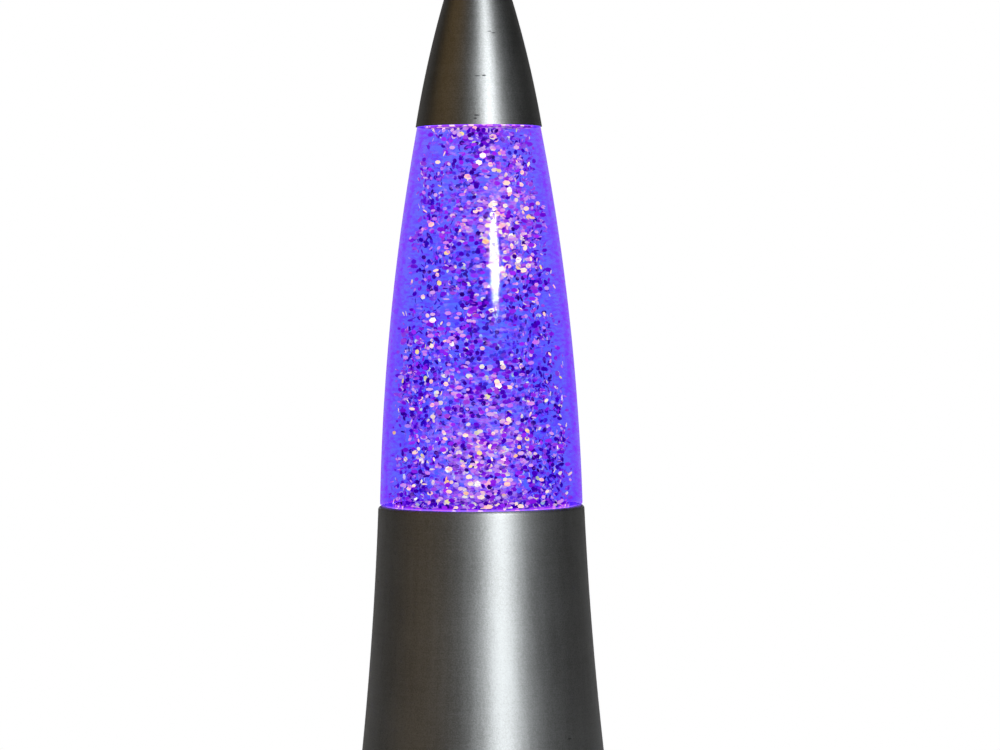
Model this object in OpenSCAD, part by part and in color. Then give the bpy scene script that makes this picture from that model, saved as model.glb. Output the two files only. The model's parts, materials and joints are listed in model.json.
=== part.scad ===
// Glitter lamp: a bottle of liquid and glitter that a reflector bulb lights and warms from below.
// Millimetres, +Z up. The origin is on the table, at the centre of the feet.
// The front faces -Y, and the cord gland faces +Y.

/* [Base] */
// Outside diameter of the skirt at its foot
base_d = 114; // [105:1:140]
// Height of the rim above the table
base_h = 123; // [122:1:150]
// How far the skirt bows in from a straight cone
skirt_bow = 1; // [0.4:0.1:2]
// Sheet thickness of the base
shell_t = 1; // [0.6:0.1:1.4]
// Outside radius of the rim's rounded edge
rim_round = 1.6; // [1.5:0.1:2.5]
// Outside radius of the skirt's rolled foot
hem_round = 1.6; // [1.5:0.1:2.5]
// Height of the skirt's edge above the table
skirt_lift = 1.8; // [1:0.1:3]
// How far the rim stands out past the bottle
rim_reveal = 0.9; // [0.5:0.1:1.5]

/* [Bottle] */
// Outside diameter of the bottle just above the rim
bottle_d = 94.4; // [86:0.2:104]
// Outside diameter of the bottle at the cap's edge
bottle_top_d = 57.4; // [52:0.2:69]
// Height of glass between the rim and the cap's edge
glass_h = 176; // [140:1:215]
// How far the bottle's side bulges out from a straight cone
bottle_bow = 3.5; // [1:0.1:6]
// Wall thickness of the glass
glass_t = 3; // [2:0.1:4]
// Thickness of the bottle's floor
floor_t = 4; // [3:0.1:6]
// Depth of the bottle's foot inside the base
plug_depth = 15; // [12:0.5:20]
// Radius of the bottle's heel
heel_round = 4; // [3:0.1:6]
// Height of the push-up in the bottle's floor
punt_h = 2; // [1:0.1:3]
// Radius of the edge above the base rim
step_round = 1.6; // [0.8:0.1:2.4]
// Radius of the shoulder under the cap
shoulder_round = 6; // [5:0.1:8]
// Lean of the shoulder above its round, in degrees from upright
shoulder_lean = 62; // [50:1:70]
// Radius of the hollow where the shoulder meets the neck
root_round = 5; // [3:0.1:7]
// Outside diameter of the bottle's neck
neck_d = 25.2; // [23:0.2:30]
// How far the bead at the mouth stands out from the neck
bead_out = 0.7; // [0.4:0.1:1.2]
// Height of the bottle's mouth above the cap's edge
mouth_h = 33; // [30:0.5:36]
// Height of the liquid's surface above the cap's edge
level_h = 5; // [2:0.5:7]

/* [Glitter] */
// Number of flakes
flake_count = 140; // [40:10:200]
// Width of a flake across its corners
flake_d = 2.8; // [1.5:0.1:4]
// Thickness of a flake
flake_t = 0.2; // [0.1:0.05:0.4]

/* [Crown] */
// Sheet thickness of the crown
crown_t = 0.4; // [0.3:0.05:0.6]
// Height of the crown's skirt below the bottle's mouth
crown_h = 5.2; // [4:0.1:6.5]
// Number of flutes round the crown
crown_flutes = 21; // [15:1:27]
// Depth of the flutes
flute_depth = 1.2; // [0.6:0.1:1.6]
// Thickness of the liner in the crown
seal_t = 0.8; // [0.5:0.1:1.5]

/* [Cap] */
// Height of the cap from its edge to its tip
cap_h = 87; // [82:1:110]
// Sheet thickness of the cap
cap_t = 0.5; // [0.4:0.1:0.8]
// Radius of the cap's nose
nose_round = 9.5; // [6:0.5:12]
// Lean of the side where it meets the nose, in degrees from upright
nose_lean = 19; // [16:0.5:22]
// Height of the collar inside the cap
collar_h = 9.6; // [6:0.1:11]
// Wall thickness of the collar
collar_t = 1.2; // [0.8:0.1:1.6]

/* [Bulb] */
// Diameter of the reflector bulb
bulb_d = 39; // [36:0.5:48]
// Length of the bulb from its contact to its face
bulb_l = 66; // [62:0.5:67]
// Wall thickness of the bulb's glass
bulb_t = 0.8; // [0.5:0.1:1.2]
// Gap between the bulb's face and the bottle
bulb_gap = 14; // [13:0.5:20]
// Diameter over the crests of the bulb's thread
screw_d = 13.9; // [13.7:0.1:14.1]
// Depth of the thread
thread_depth = 0.8; // [0.5:0.05:0.9]
// Pitch of the thread
thread_pitch = 2.82; // [2.7:0.02:3]

/* [Lampholder] */
// Outside diameter of the holder
holder_d = 28.4; // [27:0.2:34]
// Wall thickness of the holder's cup
cup_wall = 1.6; // [1.2:0.1:2]
// Height of the wiring space in the cup
wiring_h = 4.6; // [4.2:0.1:5]
// Height of the sleeve's grip above the cup
sleeve_h = 17; // [14:0.5:19]
// Diameter of the threaded nipple under the holder
nipple_d = 9.9; // [8:0.1:10]
// Diameter of the nipple's bore
nipple_bore = 7; // [5:0.1:7.5]
// Sheet thickness of the bracket and of the bottle's seat
plate_t = 1.2; // [0.8:0.1:1.6]
// Width of the bracket
bracket_w = 16; // [14:0.5:20]

/* [Bottom] */
// Thickness of the bottom cover
cover_t = 2.4; // [2:0.1:3]
// Height of the cover's underside above the table
cover_lift = 4; // [3.5:0.1:5]
// Diameter of a rubber foot where it joins the cover
foot_d = 12; // [8:0.5:14]
// Number of rubber feet
foot_count = 4; // [3:1:6]
// Diameter of the screw threads
screw_shank_d = 2.5; // [2:0.1:3]
// Diameter of the screw heads
screw_head_d = 5.6; // [4.5:0.1:6]
// Height of the screw heads
screw_head_h = 1.7; // [1.2:0.1:2]
// Width of a vent slot
vent_w = 3; // [2:0.1:4]
// Length of a vent slot
vent_l = 14; // [6:0.5:16]

/* [Wiring] */
// Height of the cord gland's axis above the table
gland_z = 16; // [14:0.5:24]
// Diameter of the hole for the gland
gland_hole_d = 10; // [9:0.1:12]
// Diameter of the gland's bore
gland_bore_d = 6.6; // [6:0.1:7]
// Diameter of a lead over its insulation
lead_d = 2.2; // [1.6:0.1:2.6]
// Width of the terminal block
block_w = 22; // [21:0.5:26]
// Length of the terminal block
block_l = 17; // [14:0.5:20]
// Height of the terminal block
block_h = 11; // [9.5:0.1:13]

/* [Clearances] */
// Gap at the cap's edge, and where the bottle rests
rest_gap = 0.2; // [0.1:0.05:0.4]
// Gap between the bottle's foot and the rim's lip
lip_gap = 0.6; // [0.3:0.1:1]
// Gap between the rim and the bottle's step above it
step_gap = 0.5; // [0.3:0.1:1]
// Gap between pieces that are fixed together
seat_gap = 0.1; // [0.05:0.05:0.2]
// Gap between the bulb's thread and the holder's
thread_gap = 0.3; // [0.2:0.05:0.4]
// Extra radius of a hole that a screw or a lead passes through
pass_gap = 0.4; // [0.2:0.1:0.6]

/* [Hidden] */
$fn = 96;

// Cuts run this far past the faces they open
over = 1;
// Bands along a long curve, and along a rounded edge
long_bands = 24;
edge_bands = 6;
// Sides of the threads and of the leads, and rings along one turn of thread
thread_sides = 24;
turn_rings = 8;
lead_sides = 8;
lead_rings = 20;

// Base skirt
rim_r = bottle_d / 2 + rim_reveal;
skirt_foot = [base_d / 2, skirt_lift + hem_round];
skirt_brow = [rim_r, base_h - rim_round];

// Bottle
bottle_z = base_h - plug_depth;
step_z = base_h + step_gap;
cap_z = base_h + glass_h;
mouth_z = cap_z + mouth_h;
lip_in = 3.2;
lip_r = rim_r - lip_in;
plug_r = lip_r - lip_gap;
stand_w = 11;
side_low = [bottle_d / 2, step_z + step_round];
side_top = [bottle_top_d / 2, cap_z];
shoulder_start = heading(side_top - bow_centre(side_low, side_top, bottle_bow));
shoulder_c = side_top - shoulder_round * unit(shoulder_start);
shoulder_end = shoulder_c + shoulder_round * unit(shoulder_lean);
neck_r = neck_d / 2;
root_r = neck_r + root_round * (1 - cos(shoulder_lean));
root_low_z = shoulder_end[1] + (shoulder_end[0] - root_r) / tan(shoulder_lean);
root_c = [neck_r + root_round, root_low_z + root_round * sin(shoulder_lean)];
bead_r = neck_r + bead_out;
bead_h = 8;
liquid_gap = 0.1;

// Steps that spread the flakes evenly in height, radius and turn, and tip each its own way
spread_z = 0.819173;
spread_r = 0.671044;
spread_turn = 0.5497;
tumble = 97;
sway = 53;

// Crown
crown_gap = 0.25;
crown_in = bead_r + crown_gap;
crown_top_r = crown_in + crown_t;
crown_max_r = crown_top_r + flute_depth;
crown_top_h = 1.2;
seal_z = mouth_z + seat_gap / 2;
crown_z = seal_z + seal_t + seat_gap / 2;

// Cap
cap_edge = [bottle_top_d / 2 + rest_gap + cap_t, cap_z];
nose_c = [0, cap_z + cap_h - nose_round];
nose_start = nose_c + nose_round * unit(nose_lean);
cap_chord = cap_edge - nose_start;
cap_bow_r = -(cap_chord * cap_chord) / (2 * cap_chord * unit(nose_lean));
cap_bow_c = nose_start - cap_bow_r * unit(nose_lean);
cap_edge_angle = heading(cap_edge - cap_bow_c);
collar_rise = 1.6;
collar_top = mouth_z + collar_rise;
collar_z = collar_top - collar_h;
collar_gap = 0.4;

// Bottle's seat
gasket_t = 1.2;
gasket_inset = 2;
seat_z = bottle_z - rest_gap - gasket_t;
seat_w = 13;
seat_hole_r = plug_r - seat_w;
seat_skirt_h = 9;

// Bulb
tip_z = bottle_z - bulb_gap - bulb_l;
tip_h = 1.4;
tip_r = 2.3;
insulator_h = 4;
screw_z = tip_z + tip_h + insulator_h;
screw_l = 17.5;
screw_turns = 5;
screw_lead_in = 0.4;
thread_r = screw_d / 2 - thread_depth / 2;
screw_wall_r = 5.6;
bulb_fit = 0.3;
bulb_neck_l = 6;
bulb_neck_r = screw_wall_r - bulb_fit;
bulb_neck_z = screw_z + screw_l - bulb_neck_l;
bulb_throat_r = 8.2;
bulb_throat_h = 2.6;
bulb_throat = [bulb_throat_r, screw_z + screw_l + bulb_throat_h];
bulb_face_h = 15;
bulb_brow = [bulb_d / 2, tip_z + bulb_l - bulb_face_h];
bulb_bow = 2;
dome_h = 12.5;
dome_inset = 0.9;
face_r = bulb_d / 2 - dome_inset;
dome_r = (face_r * face_r + dome_h * dome_h) / (2 * dome_h);
stem_r = 2.6;
filament_drop = 5;
filament_z = bulb_brow[1] - filament_drop;
filament_r = 0.4;
support_x = 5;
support_h = 6;

// Lampholder
tongue_gap = 0.15;
tongue_h = 1.85;
core_top = tip_z - tongue_gap - tongue_h;
core_flange_h = 4;
core_nose_h = 2;
core_z = core_top - core_nose_h - core_flange_h;
cup_floor = 2.4;
cup_z = core_z - wiring_h - cup_floor;
cup_r = holder_d / 2;
cup_in = cup_r - cup_wall;
cup_lap = 6;
cup_top = core_z + core_flange_h + cup_lap;
core_ledge = 1.4;
wiring_r = cup_in - core_ledge;
socket_turns = 4;
socket_l = 16;
socket_wall = 0.7;
socket_out = screw_d / 2 + thread_gap + socket_wall;
sleeve_in = socket_out + pass_gap;
sleeve_mouth = 0.8;
sleeve_z = core_z + core_flange_h + seat_gap;

// Bracket and nipple
bracket_z = cup_z - plate_t;
nut_h = 3;
nut_r = 8.2;
nipple_end = 0.8;
nipple_z = bracket_z - nut_h - nipple_end;
nipple_l = cup_z + cup_floor + nipple_end - nipple_z;
leg_room = 3;
leg_x = cup_r + leg_room;
boss_r = 4;
boss_x = leg_x + boss_r + leg_room;
boss_h = 2.4;
cover_top = cover_lift + cover_t;
tab_z = cover_top + boss_h;
tab_l = boss_x + boss_r - leg_x;

// Bottom cover and lugs
cover_gap = 0.3;
cover_r = base_d / 2 - hem_round - cover_gap;
screw_inset = 7;
screw_ring_r = cover_r - screw_inset;
foot_inset = 2.5;
foot_ring_r = cover_r - foot_d / 2 - foot_inset;
foot_grip = 0.8;
lug_count = 3;
lug_turn = 30;
lug_angle = 14;
lug_h = 10;
lug_reach = 4.5;
thread_hole_r = screw_shank_d / 2 + seat_gap / 2;
screw_end = 1.6;
pass_hole_r = screw_shank_d / 2 + pass_gap;
vent_turns = [30, 60, 120, 150, 210, 240, 270, 300, 330];
vent_inner_r = boss_x + 1;
vent_r = vent_inner_r + vent_l / 2;

// Gland: its groove takes the sheet's slope and curve
gland_r = skirt_radius(gland_z, 0);
gland_flange_w = 2.2;
gland_flange_r = gland_hole_d / 2 + gland_flange_w;
gland_flange_t = 2;
gland_rise = skirt_radius(gland_z - gland_flange_r, 0) - gland_r;
gland_taper = gland_r - skirt_radius(gland_z + gland_flange_r, 0);
gland_curve = gland_r - sqrt(gland_r * gland_r - gland_flange_r * gland_flange_r);
gland_out_y = gland_r + gland_rise + seat_gap;
gland_in_y = gland_r - shell_t - gland_taper - gland_curve - seat_gap;

// Terminal block and leads
cord_bend_room = 5;
block_y = gland_in_y - gland_flange_t - cord_bend_room - block_l / 2;
pole_x = 6.2;
pole_rise = 4.6;
pole_z = cover_top + pole_rise;
pole_out = 2.3;
pole_recess = 1.5;
pole_in = lead_d / 2 + pass_gap;
pole_l = block_l - 2 * pole_recess;
block_recess_h = 3;
clamp_r = 1.4;
clamp_y = pole_l / 4;
post_w = 4;
post_h = 3.4;
post_y = 4.6;
post_z = core_z - post_h / 2;
lead_grip = 5;
lead_start_y = block_y - block_l / 2 + lead_grip;
lead_end_y = post_y + 0.5;
lead_rise_from = 0.25;
lead_rise_to = 0.7;

function unit(a) = [cos(a), sin(a)];
function heading(v) = atan2(v[1], v[0]);
function reverse(list) = [for (i = [len(list) - 1 : -1 : 0]) list[i]];
function inner(list) = [for (i = [1 : len(list) - 2]) list[i]];
function after_first(list) = [for (i = [1 : len(list) - 1]) list[i]];
function fraction(x) = x - floor(x);
function blend(a, b, t) = a + (b - a) * t;
function smooth(t) = t * t * (3 - 2 * t);
function ramp(t, low, high) = min(1, max(0, (t - low) / (high - low)));

// Points on an arc about c, from angle a to angle b
function arc(c, r, a, b, bands) = [for (i = [0 : bands]) c + r * unit(blend(a, b, i / bands))];

// A curve from p up to q that stands out by bulge from its chord, drawn inset towards the axis
function bow_r(p, q, bulge) = ((q - p) * (q - p) / 4 + bulge * bulge) / (2 * abs(bulge));
function bow_centre(p, q, bulge) =
    let (d = q - p, out = [d[1], -d[0]] / norm(d))
    (p + q) / 2 + out * (bulge - sign(bulge) * bow_r(p, q, bulge));
function bow(p, q, bulge, inset, bands) =
    let (c = bow_centre(p, q, bulge), a = heading(p - c))
    let (sweep = (heading(q - c) - a + 540) % 360 - 180)
    arc(c, bow_r(p, q, bulge) - sign(bulge) * inset, a, a + sweep, bands);
function bow_radius(p, q, bulge, inset, z) =
    let (c = bow_centre(p, q, bulge), r = bow_r(p, q, bulge) - sign(bulge) * inset)
    c[0] + sign(bulge) * sqrt(r * r - pow(z - c[1], 2));

// Radius of the skirt, the bottle's side and the cap at a height, inset from the outside
function skirt_radius(z, inset) = bow_radius(skirt_foot, skirt_brow, -skirt_bow, inset, z);
function bottle_radius(z, inset) = bow_radius(side_low, side_top, bottle_bow, inset, z);
function cap_radius(z, inset) =
    cap_bow_c[0] + sqrt(pow(cap_bow_r - inset, 2) - pow(z - cap_bow_c[1], 2));

// The bottle's outline from its side up to its neck, inset from the outside
function bottle_side(inset) = concat(
    bow(side_low, side_top, bottle_bow, inset, long_bands),
    after_first(arc(shoulder_c, shoulder_round - inset, shoulder_start, shoulder_lean, edge_bands)),
    arc(root_c, root_round + inset, 180 + shoulder_lean, 180, edge_bands)
);

// The outline of the bottle's inside, from the axis at the floor up to the neck
function bottle_cavity(inset) =
    let (rise = inset - glass_t, corner_r = plug_r - glass_t - heel_round)
    let (corner_z = bottle_z + floor_t + heel_round)
    concat(
        [[0, bottle_z + floor_t + punt_h + rise], [plug_r - stand_w, bottle_z + floor_t + rise]],
        arc([corner_r, corner_z], heel_round - rise, -90, 0, edge_bands),
        [[plug_r - inset, side_low[1]]],
        after_first(bottle_side(inset))
    );

// The cap's outline from its edge to its tip, inset from the outside
function cap_side(inset) = concat(
    arc(cap_bow_c, cap_bow_r - inset, cap_edge_angle, nose_lean, long_bands),
    after_first(arc(nose_c, nose_round - inset, nose_lean, 90, 2 * edge_bands))
);

// The bulb's outline from its neck to its face, inset from the outside
function bulb_side(inset) = concat(
    [[bulb_neck_r - inset, bulb_neck_z], [bulb_neck_r - inset, screw_z + screw_l]],
    bow(bulb_throat, bulb_brow, bulb_bow, inset, 2 * edge_bands),
    arc(
        [0, tip_z + bulb_l - dome_r], dome_r - inset,
        90 - asin(face_r / dome_r), 90, 2 * edge_bands
    )
);

// One ring of thread at a height, whose crest climbs one pitch in a turn to the left
function thread_ring(z, mean_r, wave) = [
    for (i = [0 : thread_sides - 1])
        let (a = 360 * i / thread_sides)
        let (r = mean_r + wave * cos(360 * (z - tip_z) / thread_pitch - a))
        [r * cos(a), r * sin(a), z]
];

// Rings of thread from one height up to another, which fade to the root's radius at both ends
function thread_rings(z, length, mean_r, wave, root_r) =
    let (n = round(length / thread_pitch * turn_rings))
    [
        for (i = [0 : n])
            let (full = min(1, i / turn_rings, (n - i) / turn_rings))
            thread_ring(z + length * i / n, blend(root_r, mean_r, full), wave * full)
    ];

// A closed skin over rings of points, the last of which joins the first again
module ring_skin(rings) {
    rows = len(rings);
    sides = len(rings[0]);
    faces = [
        for (j = [0 : rows - 1], i = [0 : sides - 1])
            let (up = (j + 1) % rows * sides, row = j * sides, next = (i + 1) % sides)
            each [[row + i, up + i, up + next], [row + i, up + next, row + next]]
    ];
    polyhedron([for (ring = rings) each ring], faces);
}

// A round tube along points that lie in an upright plane across X
module tube(points, r, sides) {
    last = len(points) - 1;
    rings = [
        for (k = [0 : last])
            let (step = points[min(k + 1, last)] - points[max(k - 1, 0)])
            let (side = cross(step / norm(step), [1, 0, 0]))
            [
                for (i = [0 : sides - 1])
                    let (a = 360 * i / sides)
                    points[k] + r * (cos(a) * [1, 0, 0] + sin(a) * side)
            ]
    ];
    faces = concat(
        [
            for (j = [0 : last - 1], i = [0 : sides - 1])
                let (row = j * sides, next = (i + 1) % sides)
                each [
                    [row + i, row + sides + i, row + sides + next],
                    [row + i, row + sides + next, row + next]
                ]
        ],
        [[for (i = [0 : sides - 1]) i]],
        [[for (i = [sides - 1 : -1 : 0]) last * sides + i]]
    );
    polyhedron([for (ring = rings) each ring], faces);
}

// A pan-head screw along +Z, with its head's underside at the origin and its thread below
module pan_screw(length) {
    slot_w = 0.8;
    slot_h = 0.9;
    translate([0, 0, -length])
        cylinder(d = screw_shank_d, h = length);
    difference() {
        cylinder(d = screw_head_d, h = screw_head_h);
        translate([-screw_head_d, -slot_w / 2, screw_head_h - slot_h])
            cube([2 * screw_head_d, slot_w, slot_h + over]);
    }
}

// Places along Y, at the poles of the wiring
module at_poles() {
    for (side = [-1, 1])
        translate([side * pole_x, 0, 0])
            children();
}

// A bore along Y from a start to an end
module bore_y(r, start, end) {
    translate([0, start, 0])
        rotate([-90, 0, 0])
            cylinder(r = r, h = end - start);
}

module base_shell() {
    hem_c = [skirt_foot[0] - hem_round, skirt_foot[1]];
    rim_c = [rim_r - rim_round, skirt_brow[1]];
    outline = concat(
        arc(hem_c, hem_round, -90, 0, edge_bands),
        inner(bow(skirt_foot, skirt_brow, -skirt_bow, 0, long_bands)),
        arc(rim_c, rim_round, 0, 90, edge_bands),
        [[lip_r, base_h], [lip_r, base_h - shell_t]],
        arc(rim_c, rim_round - shell_t, 90, 0, edge_bands),
        inner(reverse(bow(skirt_foot, skirt_brow, -skirt_bow, shell_t, long_bands))),
        arc(hem_c, hem_round - shell_t, 0, -90, edge_bands)
    );
    color([0.45, 0.44, 0.42])
        difference() {
            rotate_extrude()
                polygon(outline);
            translate([0, 0, gland_z])
                bore_y(gland_hole_d / 2, gland_in_y - over, gland_out_y + over);
        }
}

module cover_lugs() {
    wall_low = skirt_radius(cover_top, shell_t) - seat_gap;
    wall_high = skirt_radius(cover_top + lug_h, shell_t) - seat_gap;
    wall_fold = skirt_radius(cover_top + plate_t, shell_t) - seat_gap - plate_t;
    outline = [
        [screw_ring_r - lug_reach, cover_top], [wall_low, cover_top],
        [wall_high, cover_top + lug_h], [wall_high - plate_t, cover_top + lug_h],
        [wall_fold, cover_top + plate_t], [screw_ring_r - lug_reach, cover_top + plate_t]
    ];
    color([0.6, 0.6, 0.6])
        for (i = [0 : lug_count - 1])
            rotate(lug_turn + 360 * i / lug_count)
                difference() {
                    rotate(-lug_angle / 2)
                        rotate_extrude(angle = lug_angle)
                            polygon(outline);
                    translate([screw_ring_r, 0, cover_top - over])
                        cylinder(r = thread_hole_r, h = plate_t + 2 * over);
                }
}

module bottle_seat() {
    low = seat_z - seat_skirt_h;
    under = seat_z - plate_t;
    wall_top = skirt_radius(seat_z, shell_t) - seat_gap;
    wall_under = skirt_radius(under, shell_t) - seat_gap - plate_t;
    wall_low = skirt_radius(low, shell_t) - seat_gap;
    color([0.55, 0.55, 0.55])
        rotate_extrude()
            polygon([
                [seat_hole_r, under], [wall_under, under], [wall_low - plate_t, low],
                [wall_low, low], [wall_top, seat_z], [seat_hole_r, seat_z]
            ]);
}

module seat_gasket() {
    color([0.1, 0.1, 0.1])
        translate([0, 0, seat_z])
            difference() {
                cylinder(r = plug_r - gasket_inset, h = gasket_t);
                translate([0, 0, -over])
                    cylinder(r = plug_r - stand_w, h = gasket_t + 2 * over);
            }
}

module bottom_cover() {
    color([0.12, 0.12, 0.13])
        difference() {
            union() {
                translate([0, 0, cover_lift])
                    cylinder(r = cover_r, h = cover_t);
                for (side = [-1, 1])
                    translate([side * boss_x, 0, cover_lift])
                        cylinder(r = boss_r, h = cover_t + boss_h);
            }
            for (side = [-1, 1])
                translate([side * boss_x, 0, cover_lift + plate_t])
                    cylinder(r = thread_hole_r, h = cover_t + boss_h);
            for (i = [0 : lug_count - 1])
                rotate(lug_turn + 360 * i / lug_count)
                    translate([screw_ring_r, 0, cover_lift - over])
                        cylinder(r = pass_hole_r, h = cover_t + 2 * over);
            translate([0, block_y, cover_lift - over])
                cylinder(r = thread_hole_r, h = cover_t + 2 * over);
            for (a = vent_turns)
                rotate(a)
                    translate([vent_r, 0, cover_lift - over])
                        linear_extrude(cover_t + 2 * over)
                            vent_outline();
        }
}

module vent_outline() {
    straight = vent_l - vent_w;
    square([straight, vent_w], center = true);
    for (side = [-1, 1])
        translate([side * straight / 2, 0])
            circle(d = vent_w);
}

module cover_screws() {
    color([0.7, 0.7, 0.7])
        for (i = [0 : lug_count - 1])
            rotate(lug_turn + 360 * i / lug_count)
                translate([screw_ring_r, 0, cover_lift])
                    mirror([0, 0, 1])
                        pan_screw(cover_t + plate_t + screw_end);
}

module rubber_feet() {
    color([0.08, 0.08, 0.08])
        for (i = [0 : foot_count - 1])
            rotate((i + 0.5) * 360 / foot_count)
                translate([foot_ring_r, 0, 0])
                    cylinder(d1 = foot_d - 2 * foot_grip, d2 = foot_d, h = cover_lift);
}

module cord_gland() {
    neck = gland_hole_d / 2 - seat_gap;
    back = gland_in_y - gland_flange_t;
    front = gland_out_y + gland_flange_t;
    color([0.08, 0.08, 0.08])
        translate([0, 0, gland_z])
            difference() {
                union() {
                    bore_y(gland_flange_r, back, gland_in_y);
                    bore_y(neck, back, front);
                    bore_y(gland_flange_r, gland_out_y, front);
                }
                bore_y(gland_bore_d / 2, back - over, front + over);
            }
}

module terminal_block() {
    color([0.9, 0.9, 0.86])
        difference() {
            translate([-block_w / 2, block_y - block_l / 2, cover_top])
                cube([block_w, block_l, block_h]);
            at_poles()
                translate([0, 0, pole_z])
                    bore_y(pole_out + seat_gap, block_y - block_l, block_y + block_l);
            at_poles()
                at_clamps()
                    cylinder(r = clamp_r + pass_gap, h = block_h);
            translate([0, block_y, cover_top - over])
                cylinder(r = pass_hole_r, h = block_h + 2 * over);
            translate([0, block_y, cover_top + block_recess_h])
                cylinder(d = screw_head_d + 2 * pass_gap, h = block_h);
        }
}

// The two clamping places of a pole, at the height of its axis
module at_clamps() {
    for (side = [-1, 1])
        translate([0, block_y + side * clamp_y, pole_z])
            children();
}

module terminal_sleeves() {
    color([0.8, 0.65, 0.3])
        at_poles()
            difference() {
                translate([0, 0, pole_z])
                    bore_y(pole_out, block_y - pole_l / 2, block_y + pole_l / 2);
                translate([0, 0, pole_z])
                    bore_y(pole_in, block_y - block_l, block_y + block_l);
                at_clamps()
                    cylinder(r = clamp_r + seat_gap, h = block_h);
            }
}

module terminal_screws() {
    screw_h = 4;
    slot_w = 0.7;
    slot_h = 0.8;
    color([0.75, 0.75, 0.75])
        at_poles()
            at_clamps()
                translate([0, 0, pole_in + seat_gap])
                    difference() {
                        cylinder(r = clamp_r, h = screw_h);
                        translate([-slot_w / 2, -2 * clamp_r, screw_h - slot_h])
                            cube([slot_w, 4 * clamp_r, slot_h + over]);
                    }
}

module block_screw() {
    seat = cover_top + block_recess_h;
    color([0.7, 0.7, 0.7])
        translate([0, block_y, seat])
            pan_screw(seat - cover_lift - plate_t / 2);
}

// A lead on one side, which climbs smoothly from the block to the holder
module lead(side) {
    points = [
        for (k = [0 : lead_rings])
            let (t = k / lead_rings)
            [
                side * pole_x,
                blend(lead_start_y, lead_end_y, t),
                blend(pole_z, post_z, smooth(ramp(t, lead_rise_from, lead_rise_to)))
            ]
    ];
    tube(points, lead_d / 2, lead_sides);
}

module live_lead() {
    color([0.4, 0.2, 0.1])
        lead(1);
}

module neutral_lead() {
    color([0.1, 0.25, 0.6])
        lead(-1);
}

module holder_bracket() {
    leg_h = cup_z - tab_z;
    color([0.7, 0.7, 0.68])
        difference() {
            union() {
                translate([-leg_x, -bracket_w / 2, bracket_z])
                    cube([2 * leg_x, bracket_w, plate_t]);
                for (side = [0, 1])
                    mirror([side, 0, 0]) {
                        translate([leg_x - plate_t, -bracket_w / 2, tab_z])
                            cube([plate_t, bracket_w, leg_h]);
                        translate([leg_x - plate_t, -bracket_w / 2, tab_z])
                            cube([tab_l + plate_t, bracket_w, plate_t]);
                    }
            }
            translate([0, 0, bracket_z - over])
                cylinder(d = nipple_d + 2 * seat_gap, h = plate_t + 2 * over);
            for (side = [-1, 1])
                translate([side * boss_x, 0, tab_z - over])
                    cylinder(r = pass_hole_r, h = plate_t + 2 * over);
        }
}

module bracket_screws() {
    color([0.7, 0.7, 0.7])
        for (side = [-1, 1])
            translate([side * boss_x, 0, tab_z + plate_t])
                pan_screw(boss_h + plate_t + cover_t / 4);
}

module holder_nipple() {
    color([0.75, 0.7, 0.55])
        translate([0, 0, nipple_z])
            difference() {
                cylinder(d = nipple_d, h = nipple_l);
                translate([0, 0, -over])
                    cylinder(d = nipple_bore, h = nipple_l + 2 * over);
            }
}

module nipple_nut() {
    color([0.75, 0.7, 0.55])
        translate([0, 0, bracket_z - nut_h])
            difference() {
                cylinder(r = nut_r, h = nut_h, $fn = 6);
                translate([0, 0, -over])
                    cylinder(d = nipple_d + 2 * seat_gap, h = nut_h + 2 * over);
            }
}

module holder_cup() {
    hole = nipple_d / 2 + seat_gap;
    color([0.93, 0.92, 0.88])
        difference() {
            rotate_extrude()
                polygon([
                    [hole, cup_z], [cup_r, cup_z], [cup_r, cup_top], [cup_in, cup_top],
                    [cup_in, core_z], [wiring_r, core_z], [wiring_r, cup_z + cup_floor],
                    [hole, cup_z + cup_floor]
                ]);
            at_poles()
                translate([0, 0, post_z])
                    bore_y(lead_d / 2 + pass_gap, post_y, cup_r + over);
        }
}

module holder_core() {
    color([0.25, 0.16, 0.1])
        union() {
            translate([0, 0, core_z])
                cylinder(r = cup_in - seat_gap, h = core_flange_h);
            translate([0, 0, core_z])
                cylinder(r = socket_out + seat_gap, h = core_top - core_z);
        }
}

module holder_terminals() {
    color([0.8, 0.65, 0.3])
        at_poles()
            difference() {
                translate([-post_w / 2, post_y - post_w / 2, core_z - post_h])
                    cube([post_w, post_w, post_h]);
                translate([0, 0, post_z])
                    bore_y(lead_d / 2 + seat_gap, post_y, post_y + post_w);
            }
}

module holder_thread() {
    wave = thread_depth / 2;
    low = tip_z + thread_pitch;
    mean_r = thread_r + thread_gap;
    inside = thread_rings(low, socket_turns * thread_pitch, mean_r, wave, mean_r + wave);
    plain_low = thread_ring(core_top, mean_r + wave, 0);
    plain_high = thread_ring(core_top + socket_l, mean_r + wave, 0);
    outer_low = thread_ring(core_top, socket_out, 0);
    outer_high = thread_ring(core_top + socket_l, socket_out, 0);
    color([0.8, 0.65, 0.3])
        ring_skin(concat([plain_high], reverse(inside), [plain_low, outer_low, outer_high]));
}

module centre_contact() {
    strip_w = 4;
    strip_t = 0.5;
    heel_x = -5;
    toe_x = 2.6;
    color([0.8, 0.65, 0.3])
        translate([0, -strip_w / 2, core_top])
            union() {
                translate([heel_x, 0, 0])
                    cube([toe_x - heel_x, strip_w, strip_t]);
                translate([toe_x - strip_t, 0, 0])
                    cube([strip_t, strip_w, tongue_h]);
                translate([-toe_x, 0, tongue_h - strip_t])
                    cube([2 * toe_x, strip_w, strip_t]);
            }
}

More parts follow.
